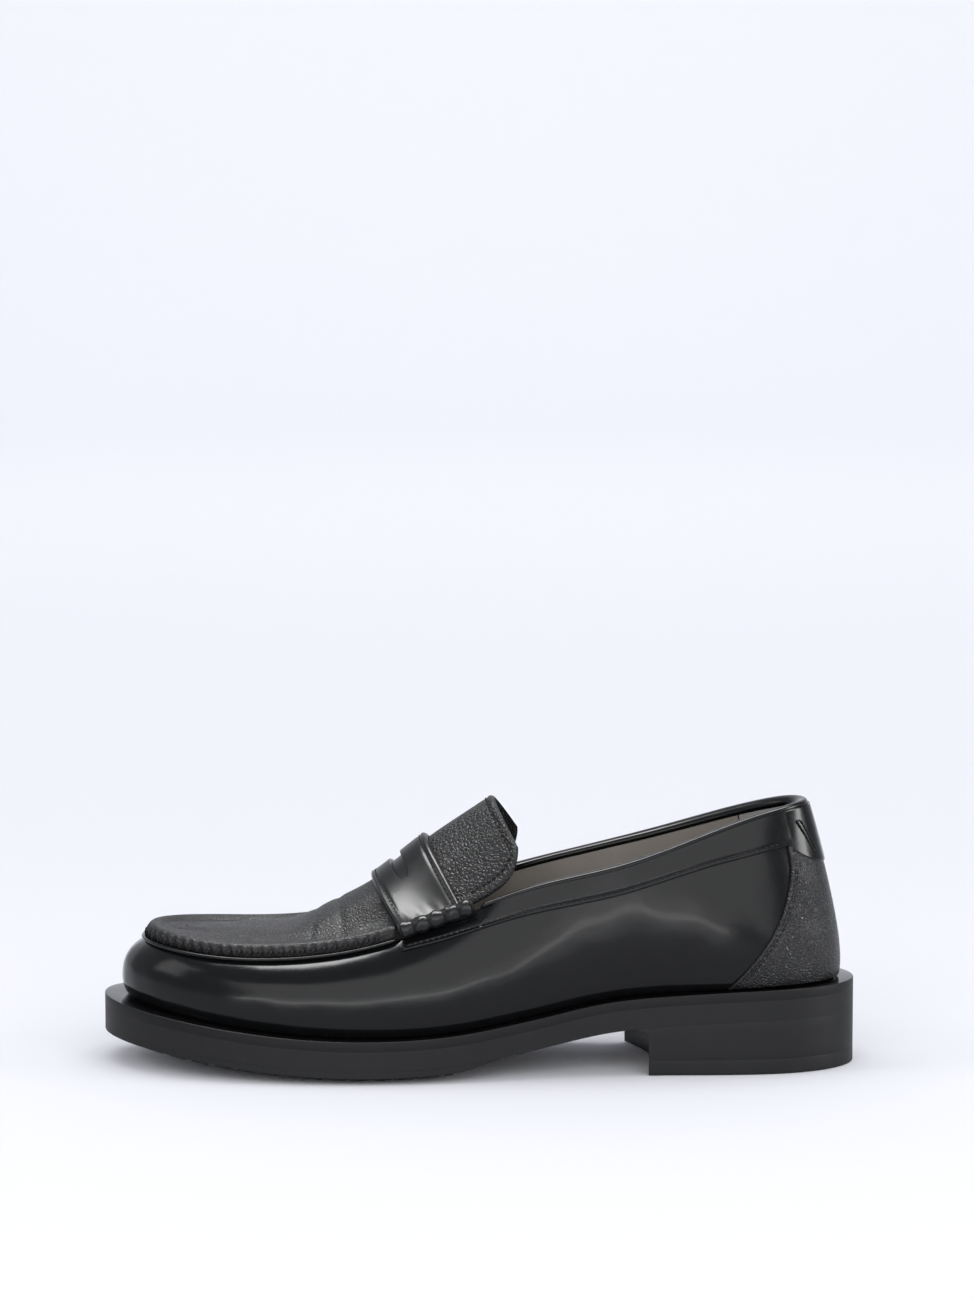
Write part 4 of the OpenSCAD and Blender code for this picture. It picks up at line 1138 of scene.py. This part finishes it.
def make_strap(size):
    """The saddle strap: a padded band over the instep with folded edges and a slot. It is a
    little wider in front, and gathers into the lobes of the rolls at its ends."""
    x = dense([STRAP_FRONT, SLOT[0], SLOT[1], STRAP_REAR], 0.5)
    y = dense([-STRAP_HALF, -SLOT[2], SLOT[2], STRAP_HALF], 0.8)
    gx, gy = np.meshgrid(x, y, indexing="ij")
    gy = gy * (1 + 0.07 * ((STRAP_REAR - gx) / (STRAP_REAR - STRAP_FRONT)) ** 2)
    ends = np.minimum(gx - STRAP_FRONT, STRAP_REAR - gx)
    half = (SLOT[1] - SLOT[0]) / 2 * np.clip((SLOT[2] + 1.5 - np.abs(gy)) / 5, 0, 1) ** 0.5
    slot = np.hypot(np.maximum(np.abs(gx - (SLOT[0] + SLOT[1]) / 2) - half, 0),
                    np.maximum(np.abs(gy) - SLOT[2], 0))
    press = np.exp(-((ends - 2.3) / GROOVE_HALF) ** 2)
    fold = 0.15 * np.exp(-((ends - 1.0) / 0.6) ** 2)
    body = size["strap"] * rounded(ends, 1.1) + fold - GROOVE * press
    waves = np.cos(2 * np.pi * LOBES * (gx - STRAP_FRONT) / (STRAP_REAR - STRAP_FRONT))
    gather = 0.16 * waves * eased((np.abs(gy) - 28) / 6) * eased(ends / 3)
    high = mix(0.3, body - gather, rounded(slot, 0.3))
    shape = Shape()
    shape.slab(strap_point(gx, gy, high), strap_point(gx, gy, -0.3 + 0 * gx))
    shape.make("saddle_strap", "strap_leather", "glossy_leather", sharp=50)
    sewing = Shape()
    y = np.linspace(-33.5, 33.5, 160)
    for x in (STRAP_FRONT + 2.2, STRAP_REAR - 2.2):
        sew(sewing, strap_point(x + 0 * y, y, size["strap"] - 0.2 + 0 * y), instep_out(x + 0 * y, y),
            pitch=size["machine_pitch"])
    sewing.make("strap_stitches", "thread")


def roll_radius(f, r):
    """Radius of the sewn roll: a row of lobes with narrow waists, and round ends."""
    lobe = np.abs(np.sin(np.pi * f * LOBES)) ** 0.55
    return r * (0.66 + 0.34 * lobe) * np.sqrt(np.clip(np.minimum(f, 1 - f) / 0.05, 0.06, 1))


def make_rolls(size):
    """The sewn rolls at the strap's ends: gathered leather whipped with thread between lobes,
    three turns of it at each waist."""
    r = size["roll"]
    f = np.linspace(0, 1, 181)
    turn = np.linspace(0, 2 * np.pi, 32, endpoint=False)
    bend = np.linspace(-1.9, 1.9, 25)
    spin = np.radians(np.arange(6) * 60)
    sewing = Shape()
    for side, span in (("lateral", ROLL_LATERAL), ("medial", ROLL_MEDIAL)):
        u = mix(span[0], span[1], f)
        centre = wall(u, ROLL_T + 0 * u, np.full(len(u), r + 0.35)) + [0, 0, ROLL_RISE]
        run = unit(np.gradient(centre, axis=0))
        up = unit(np.cross(run, wall_normal(u, ROLL_T + 0 * u)))
        out = np.cross(up, run)
        spokes = out[:, None] * np.cos(turn)[None, :, None] + up[:, None] * np.sin(turn)[None, :, None]
        radius = roll_radius(f, r)[:, None] * (1 + 0.035 * np.sin(3 * turn + 9 * f[:, None] * LOBES))
        shape = Shape()
        shape.tube(centre[:, None] + spokes * radius[..., None])
        shape.make("beef_roll_" + side, "strap_leather", "glossy_leather", sharp=60)
        for k in range(LOBES + 1):
            for shift in (-0.019, 0, 0.019):
                i = int(round((np.clip(k / LOBES, 0.035, 0.965) + shift) * (len(f) - 1)))
                dirs = out[i] * np.cos(bend)[:, None] + up[i] * np.sin(bend)[:, None]
                line = centre[i] + (r * 0.74 + 0.1) * dirs + run[i] * (0.16 * bend)[:, None]
                sewing.tube(line[:, None] + 0.3 * (dirs[:, None] * np.cos(spin)[None, :, None]
                                                   + run[i] * np.sin(spin)[None, :, None]))
    sewing.make("beef_roll_stitches", "thread")


def tongue_y(x):
    """Half width of the tongue at x: full under the strap, narrower towards its end."""
    f = np.clip((x + 19.6) / (TONGUE_END + 19.6), 0, 1)
    return TONGUE_HALF * (1 - 0.19 * f ** 6)


def make_tongue(size):
    """The tongue: a curved flap that comes out from under the strap, round at its corners,
    with a raised rim, a groove under its sewing and a lining."""
    root, inset, corner_r = -26.0, 2.6, 1.6
    tip = TONGUE_END - 4 + 4 * np.sin(np.linspace(0, np.pi / 2, 24)[1:])
    x = np.concatenate([np.linspace(root, TONGUE_END - 4, 60), tip])
    s = np.sin(np.linspace(-np.pi / 2, np.pi / 2, 141))
    s = np.sign(s) * np.abs(s) ** 0.92

    def layer(low, high, trim, r):
        gx, gs = np.meshgrid(root + (x - root) * trim, s, indexing="ij")
        half = tongue_y(gx) * trim
        gy = half * gs
        d = np.minimum(half - np.abs(gy), np.max(gx) - gx)
        raised = 0.14 * np.exp(-((d - 1.1) / 0.7) ** 2)
        pressed = 0.28 * np.exp(-((d - inset) / 0.55) ** 2)
        thick = (high - low) * rounded(d, r) + raised - pressed
        shape = Shape()
        shape.slab(instep(gx, gy, low + thick), instep(gx, gy, low + 0 * gx))
        return shape
    leather = -size["leather"]
    piece = layer(leather, 0.0, 1.0, 1.0).make("tongue", "tumbled_leather", body=None)
    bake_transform(piece)
    under = leather - GAP
    piece = layer(under - LINING, under, 0.985, 0.7).make("tongue_lining", "tumbled_leather", body=None)
    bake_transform(piece)
    side = np.linspace(-16, TONGUE_END - inset - corner_r, 60)
    edge = tongue_y(side) - inset
    bend = np.linspace(0, np.pi / 2, 14)[1:]
    cx, cy = side[-1], edge[-1] - corner_r
    corner = np.column_stack([cx + corner_r * np.sin(bend), cy + corner_r * np.cos(bend)])
    half = np.vstack([np.column_stack([side, edge]), corner])
    middle = np.column_stack([np.full(60, corner[-1, 0]), np.linspace(cy, -cy, 62)[1:-1]])
    line = np.vstack([half, middle, half[::-1] * [1, -1]])
    sewing = Shape()
    sew(sewing, instep(line[:, 0], line[:, 1], 0.02), instep_out(line[:, 0], line[:, 1]),
        pitch=size["machine_pitch"])
    sewing.make("tongue_stitches", "thread", body="tongue")


def collar_top(u):
    """Top of the collar: the topline, and lower where the sewn roll lies over it."""
    past = np.where(u > TOE, TOPLINE_MEDIAL - u, u - TOPLINE_LATERAL)
    return np.maximum(0.99 - 0.13 * eased(past / 0.2 + 1), wall_t(u, collar_z(u) + 2))


def make_collars(size):
    """The collar bands along the topline, with a raised and stitched lower edge."""
    sewing = Shape()
    for side, first, last, edges in (("lateral", 0.002, COLLAR_LATERAL, "rb"),
                                     ("medial", COLLAR_MEDIAL, 23.998, "lb")):
        u = mix(first, last, runs(SPAN * (last - first), 300))
        low, high = wall_t(u, collar_z(u)), collar_top(u)
        tall = np.maximum((high - low) * 45, 4.0)
        t = mix(low[:, None], high[:, None], runs(tall, 14))
        shape = Shape()
        sheet_on_wall(shape, u[:, None] + 0 * t, t, GAP, OVERLAY, 0.9, edges=edges, groove=(1.5,))
        shape.make("collar_" + side, "glossy_leather", sharp=50)
    for first, last in ((1.6, COLLAR_LATERAL - 0.06), (COLLAR_MEDIAL + 0.06, 22.4)):
        u = np.linspace(first, last, 260)
        sew_wall(sewing, u, collar_z(u) + 1.5, GAP + OVERLAY - 0.2, pitch=size["machine_pitch"])
    sewing.make("collar_stitches", "thread")


def make_binding():
    """The topline binding: leather turned over the upper edge of wall and lining."""
    u = mix(TOPLINE_MEDIAL - STATIONS, TOPLINE_LATERAL, runs(300, 420, (0, 0.1, 0.3, 0.7, 1.3, 2.0)))
    a = np.radians(np.linspace(-18, 198, 22))
    middle, half = -1.22, 2.62
    shrink = rounded(np.minimum(u - u[0], u[-1] - u) * SPAN + 0.3, 2.0)
    off = middle + half * np.cos(a) * shrink[:, None]
    lift = 1.9 * np.sin(a) * shrink[:, None] - 0.25
    p = wall(u[:, None], np.ones((1, len(a))), off) + np.stack([0 * lift, 0 * lift, lift], -1)
    shape = Shape()
    shape.tube(p)
    shape.make("topline_binding", "glossy_leather", sharp=60)


def make_counter(size):
    """The counter cover: tumbled leather round the heel with a double-sewn front edge."""
    v = runs(55, 44)
    f = runs(150, 170)
    z = mix(welt_z(np.array(100.0)) + 1.2, 87.0, v)[None]
    edge = counter_edge(z)
    u = mix(-edge, edge, f[:, None])
    top = wall_t(u, collar_z(u) - 0.4)
    t = mix(0.014, top, v[None])
    shape = Shape()
    sheet_on_wall(shape, u, t, 0.3, 1.0, 0.8, inner=0.0, edges="lr", groove=(2.3, 3.8))
    shape.make("counter_cover", "counter_leather", "tumbled_leather", sharp=50)
    sewing = Shape()
    z = np.linspace(36.5, 79.5, 80)
    for side in (-1, 1):
        for inset in (0.083, 0.137):
            sew_wall(sewing, side * (counter_edge(z) - inset), z, 1.12, pitch=size["machine_pitch"])
    sewing.make("counter_stitches", "thread")


def make_tab():
    """The back tab over the counter's top, with its two sewn slits. Each slit is four short
    rows of stitches between its corners, given as [station, height]."""
    u = mix(-TAB_REACH, TAB_REACH, runs(80, 90))
    low = wall_t(u, 79.5 + 8 * (np.abs(u) / TAB_REACH) ** 3)
    t = mix(low[:, None], 0.985, runs(20, 26))
    shape = Shape()
    sheet_on_wall(shape, u[:, None] + 0 * t, t, 1.22, OVERLAY - 0.3, 0.8, inner=0.2, edges="b",
                  fade=eased((TAB_REACH - np.abs(u)) / 0.7)[:, None])
    shape.make("back_tab", "glossy_leather", sharp=50)
    sewing = Shape()
    f = np.linspace(0, 1, 14)
    far_top, near_top, far_low, near_low = (1.12, 97), (1.0, 97), (0.84, 85), (0.72, 85)
    for side in (-1, 1):
        for a, b in ((far_top, far_low), (near_top, near_low), (far_top, near_top), (far_low, near_low)):
            sew_wall(sewing, side * mix(a[0], b[0], f), mix(a[1], b[1], f), 2.02, pitch=1.6, width=0.8,
                     ends=0.1)
    sewing.make("back_tab_stitches", "thread")


def make_linings(size):
    """The linings inside the wall, parted at the same seams as the real ones."""
    outer = -size["leather"] - GAP - STIFFENER - GAP
    for name, first, last, skin in (("vamp_lining", 6.01, 18.59, "lining_leather"),
                                    ("quarter_lining_lateral", 1.86, 5.99, "lining_leather"),
                                    ("quarter_lining_medial", 18.61, 22.14, "lining_leather"),
                                    ("heel_grip_lining", -1.84, 1.84, "heel_grip_leather")):
        u = mix(first, last, runs(SPAN * (last - first), int(SPAN * (last - first) / 1.4)))
        t = mix(0.04, 0.97, runs(50, 34))
        near = np.minimum(u - first, last - u) * SPAN
        fat = LINING * (0.75 + 0.25 * rounded(near, 0.8)) + 0.35 * np.exp(-((near - 1.2) / 0.8) ** 2)
        shape = Shape()
        shape.slab(wall(u[:, None], t, np.full(1, outer)), wall(u[:, None], t, (outer - fat)[:, None]))
        shape.make(name, skin, sharp=50)


INSIDE = {"cork_filler": "cork", "shank": "steel", "heel_nails": "steel", "insole_board": "insole_board",
          "toe_puff": "stiffener", "heel_stiffener": "stiffener", "apron_lining": "lining_leather"}


def dress_inside():
    """Materials for the pieces inside the shoe, which keep their CAD meshes."""
    for node, skin in INSIDE.items():
        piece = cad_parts[node]
        piece.data.materials.clear()
        piece.data.materials.append(finish(skin))


# ------------------------------------------------------------------ the stage
def area_light(name, place, aim, size, power):
    """Rectangular soft light at a place, turned to face aim."""
    lamp = bpy.data.lights.new(name, "AREA")
    lamp.shape, lamp.size, lamp.size_y = "RECTANGLE", size[0], size[1]
    lamp.energy = power
    thing = bpy.data.objects.new(name, lamp)
    bpy.context.scene.collection.objects.link(thing)
    d = np.array(aim, float) - np.array(place, float)
    d = d / np.linalg.norm(d)
    thing.location = place
    thing.rotation_euler = (math.acos(-d[2]), 0, math.atan2(d[0], -d[1]) + math.pi)
    return thing


def make_stage():
    """Floor that curves up into the background, soft lights and camera."""
    scene = bpy.context.scene
    side, rise = 6.0, 2.6
    s = np.linspace(0, 1, 40)
    bend = np.radians(90 * s)
    depth = np.concatenate([[-6.0, -2.0, 0.0], 3.0 + 1.5 * np.sin(bend), [4.5]])
    level = np.concatenate([[0.0, 0.0, 0.0], 1.5 * (1 - np.cos(bend)), [1.5 + rise]])
    across = np.linspace(-side, side, 9)
    points = np.stack(np.broadcast_arrays(across[:, None], depth[None], level[None] - 0.0002), -1)
    quads = grid_quads(numbered(points))[:, ::-1]
    mesh = bpy.data.meshes.new("Floor")
    mesh.from_pydata(points.reshape(-1, 3).tolist(), [], quads.tolist())
    mesh.polygons.foreach_set("use_smooth", np.ones(len(quads), bool))
    mesh.materials.append(floor_paper(scene.loafer_finish.floor))
    floor = bpy.data.objects.new("Floor", mesh)
    scene.collection.objects.link(floor)

    world = bpy.data.worlds.new("Studio")
    world.use_nodes = True
    world.node_tree.nodes["Background"].inputs[0].default_value = (0.9, 0.93, 1.0, 1)
    world.node_tree.nodes["Background"].inputs[1].default_value = 0.52
    scene.world = world
    scene.view_settings.view_transform = "Standard"

    area_light("Overhead", (0.0, 0.35, 2.2), (0, 0, 0), (2.6, 1.0), 15)
    area_light("Front_Box", (0.2, -2.15, 1.0), (0, 0, 0), (4.0, 1.6), 40)
    area_light("Left_Box", (-2.0, -0.4, 1.2), (0, 0, 0.05), (0.8, 1.2), 7)
    area_light("Right_Box", (2.1, -0.2, 1.0), (0, 0, 0.05), (0.6, 1.1), 6)
    area_light("Background_Light", (0.0, 1.8, 2.4), (0, 4.5, 0.9), (4.0, 1.0), 38)
    # Cards seen only in the leather's reflections
    for name, place, size, power in (("Top_Card", (0.0, 0.3, 2.15), (2.2, 0.8), 104),
                                     ("Low_Strip", (-0.3, -2.14, 0.14), (2.6, 0.08), 9),
                                     ("Right_Card", (2.1, -0.6, 0.6), (0.5, 1.1), 26)):
        area_light(name, place, (0, 0, 0), size, power).visible_diffuse = False

    eye = bpy.data.cameras.new("Camera")
    eye.sensor_fit, eye.sensor_height, eye.lens = "VERTICAL", 36, 141.8
    camera = bpy.data.objects.new("Camera", eye)
    scene.collection.objects.link(camera)
    camera.location = (0.0032, -2.0, 0.42)
    camera.rotation_euler = (math.radians(90 - 7.3), 0, 0)
    scene.camera = camera


# ------------------------------------------------------------------ operators
class LOAFER_OT_stage(bpy.types.Operator):
    """Floor, background, lights and camera"""
    bl_idname = "loafer.stage"
    bl_label = "Stage"
    bl_options = {"REGISTER", "UNDO"}

    def execute(self, context):
        make_stage()
        return {"FINISHED"}


class LOAFER_OT_welt(bpy.types.Operator):
    """The welt round the sole"""
    bl_idname = "loafer.welt"
    bl_label = "Welt"
    bl_options = {"REGISTER", "UNDO"}

    def execute(self, context):
        make_welt()
        return {"FINISHED"}


class LOAFER_OT_midsole(bpy.types.Operator):
    """The trimmed layer under the welt"""
    bl_idname = "loafer.midsole"
    bl_label = "Midsole"
    bl_options = {"REGISTER", "UNDO"}

    def execute(self, context):
        make_midsole()
        return {"FINISHED"}


class LOAFER_OT_outsole(bpy.types.Operator):
    """The layer under the forepart"""
    bl_idname = "loafer.outsole"
    bl_label = "Outsole"
    bl_options = {"REGISTER", "UNDO"}

    def execute(self, context):
        make_outsole()
        return {"FINISHED"}


class LOAFER_OT_tread(bpy.types.Operator):
    """The bars under the forepart"""
    bl_idname = "loafer.tread"
    bl_label = "Tread"
    bl_options = {"REGISTER", "UNDO"}

    def execute(self, context):
        make_tread(sizes())
        return {"FINISHED"}


class LOAFER_OT_heel(bpy.types.Operator):
    """The heel block and its top piece"""
    bl_idname = "loafer.heel"
    bl_label = "Heel"
    bl_options = {"REGISTER", "UNDO"}

    def execute(self, context):
        make_heel()
        return {"FINISHED"}


class LOAFER_OT_footbed(bpy.types.Operator):
    """Sock lining and heel pad"""
    bl_idname = "loafer.footbed"
    bl_label = "Footbed"
    bl_options = {"REGISTER", "UNDO"}

    def execute(self, context):
        make_footbed(sizes())
        return {"FINISHED"}


class LOAFER_OT_vamp(bpy.types.Operator):
    """The one-piece wall of the upper"""
    bl_idname = "loafer.vamp"
    bl_label = "Vamp"
    bl_options = {"REGISTER", "UNDO"}

    def execute(self, context):
        make_vamp(sizes())
        return {"FINISHED"}


class LOAFER_OT_apron(bpy.types.Operator):
    """The apron and its rolled ridge"""
    bl_idname = "loafer.apron"
    bl_label = "Apron"
    bl_options = {"REGISTER", "UNDO"}

    def execute(self, context):
        make_apron(sizes())
        return {"FINISHED"}


class LOAFER_OT_hand_sewing(bpy.types.Operator):
    """The stitches that join apron and wall"""
    bl_idname = "loafer.hand_sewing"
    bl_label = "Hand sewing"
    bl_options = {"REGISTER", "UNDO"}

    def execute(self, context):
        make_hand_sewing(sizes())
        return {"FINISHED"}


class LOAFER_OT_strap(bpy.types.Operator):
    """The strap with its slot and its sewing"""
    bl_idname = "loafer.strap"
    bl_label = "Saddle strap"
    bl_options = {"REGISTER", "UNDO"}

    def execute(self, context):
        make_strap(sizes())
        return {"FINISHED"}


class LOAFER_OT_rolls(bpy.types.Operator):
    """The rolls at the ends of the strap"""
    bl_idname = "loafer.rolls"
    bl_label = "Sewn rolls"
    bl_options = {"REGISTER", "UNDO"}

    def execute(self, context):
        make_rolls(sizes())
        return {"FINISHED"}


class LOAFER_OT_tongue(bpy.types.Operator):
    """The tongue, its lining and its sewing"""
    bl_idname = "loafer.tongue"
    bl_label = "Tongue"
    bl_options = {"REGISTER", "UNDO"}

    def execute(self, context):
        make_tongue(sizes())
        return {"FINISHED"}


class LOAFER_OT_collars(bpy.types.Operator):
    """The collar bands along the topline"""
    bl_idname = "loafer.collars"
    bl_label = "Collars"
    bl_options = {"REGISTER", "UNDO"}

    def execute(self, context):
        make_collars(sizes())
        return {"FINISHED"}


class LOAFER_OT_binding(bpy.types.Operator):
    """The binding over the upper edge"""
    bl_idname = "loafer.binding"
    bl_label = "Topline binding"
    bl_options = {"REGISTER", "UNDO"}

    def execute(self, context):
        make_binding()
        return {"FINISHED"}


class LOAFER_OT_counter(bpy.types.Operator):
    """The cover round the heel and its sewing"""
    bl_idname = "loafer.counter"
    bl_label = "Counter cover"
    bl_options = {"REGISTER", "UNDO"}

    def execute(self, context):
        make_counter(sizes())
        return {"FINISHED"}


class LOAFER_OT_tab(bpy.types.Operator):
    """The tab over the back seam"""
    bl_idname = "loafer.tab"
    bl_label = "Back tab"
    bl_options = {"REGISTER", "UNDO"}

    def execute(self, context):
        make_tab()
        return {"FINISHED"}


class LOAFER_OT_linings(bpy.types.Operator):
    """The linings inside the wall"""
    bl_idname = "loafer.linings"
    bl_label = "Linings"
    bl_options = {"REGISTER", "UNDO"}

    def execute(self, context):
        make_linings(sizes())
        return {"FINISHED"}


class LOAFER_OT_inside(bpy.types.Operator):
    """Materials of the pieces inside the shoe"""
    bl_idname = "loafer.inside"
    bl_label = "Inside pieces"
    bl_options = {"REGISTER", "UNDO"}

    def execute(self, context):
        dress_inside()
        return {"FINISHED"}


OPERATORS = [
    LOAFER_OT_stage, LOAFER_OT_welt, LOAFER_OT_midsole, LOAFER_OT_outsole, LOAFER_OT_tread, LOAFER_OT_heel,
    LOAFER_OT_footbed, LOAFER_OT_vamp, LOAFER_OT_apron, LOAFER_OT_hand_sewing, LOAFER_OT_strap,
    LOAFER_OT_rolls, LOAFER_OT_tongue, LOAFER_OT_collars, LOAFER_OT_binding, LOAFER_OT_counter,
    LOAFER_OT_tab, LOAFER_OT_linings, LOAFER_OT_inside,
]


class LOAFER_PT_panel(bpy.types.Panel):
    """The loafer's pieces, sizes and colours."""
    bl_idname = "LOAFER_PT_panel"
    bl_label = "Penny Loafer"
    bl_space_type = "VIEW_3D"
    bl_region_type = "UI"
    bl_category = "Loafer"

    def draw(self, context):
        for group in (context.scene.loafer_sizes, context.scene.loafer_finish):
            for key in group.bl_rna.properties.keys():
                if key not in {"rna_type", "name"}:
                    self.layout.prop(group, key)
        for kind in OPERATORS:
            self.layout.operator(kind.bl_idname)


CLASSES = [LoaferSizes, LoaferFinish, *OPERATORS, LOAFER_PT_panel]


def register():
    for kind in CLASSES:
        bpy.utils.register_class(kind)
    bpy.types.Scene.loafer_sizes = bpy.props.PointerProperty(type=LoaferSizes)
    bpy.types.Scene.loafer_finish = bpy.props.PointerProperty(type=LoaferFinish)


def unregister():
    del bpy.types.Scene.loafer_sizes
    del bpy.types.Scene.loafer_finish
    for kind in reversed(CLASSES):
        bpy.utils.unregister_class(kind)


def main():
    """Registers the classes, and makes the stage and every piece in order."""
    register()
    for kind in OPERATORS:
        getattr(bpy.ops.loafer, kind.bl_idname.split(".")[1])()


if __name__ == "__main__":
    main()
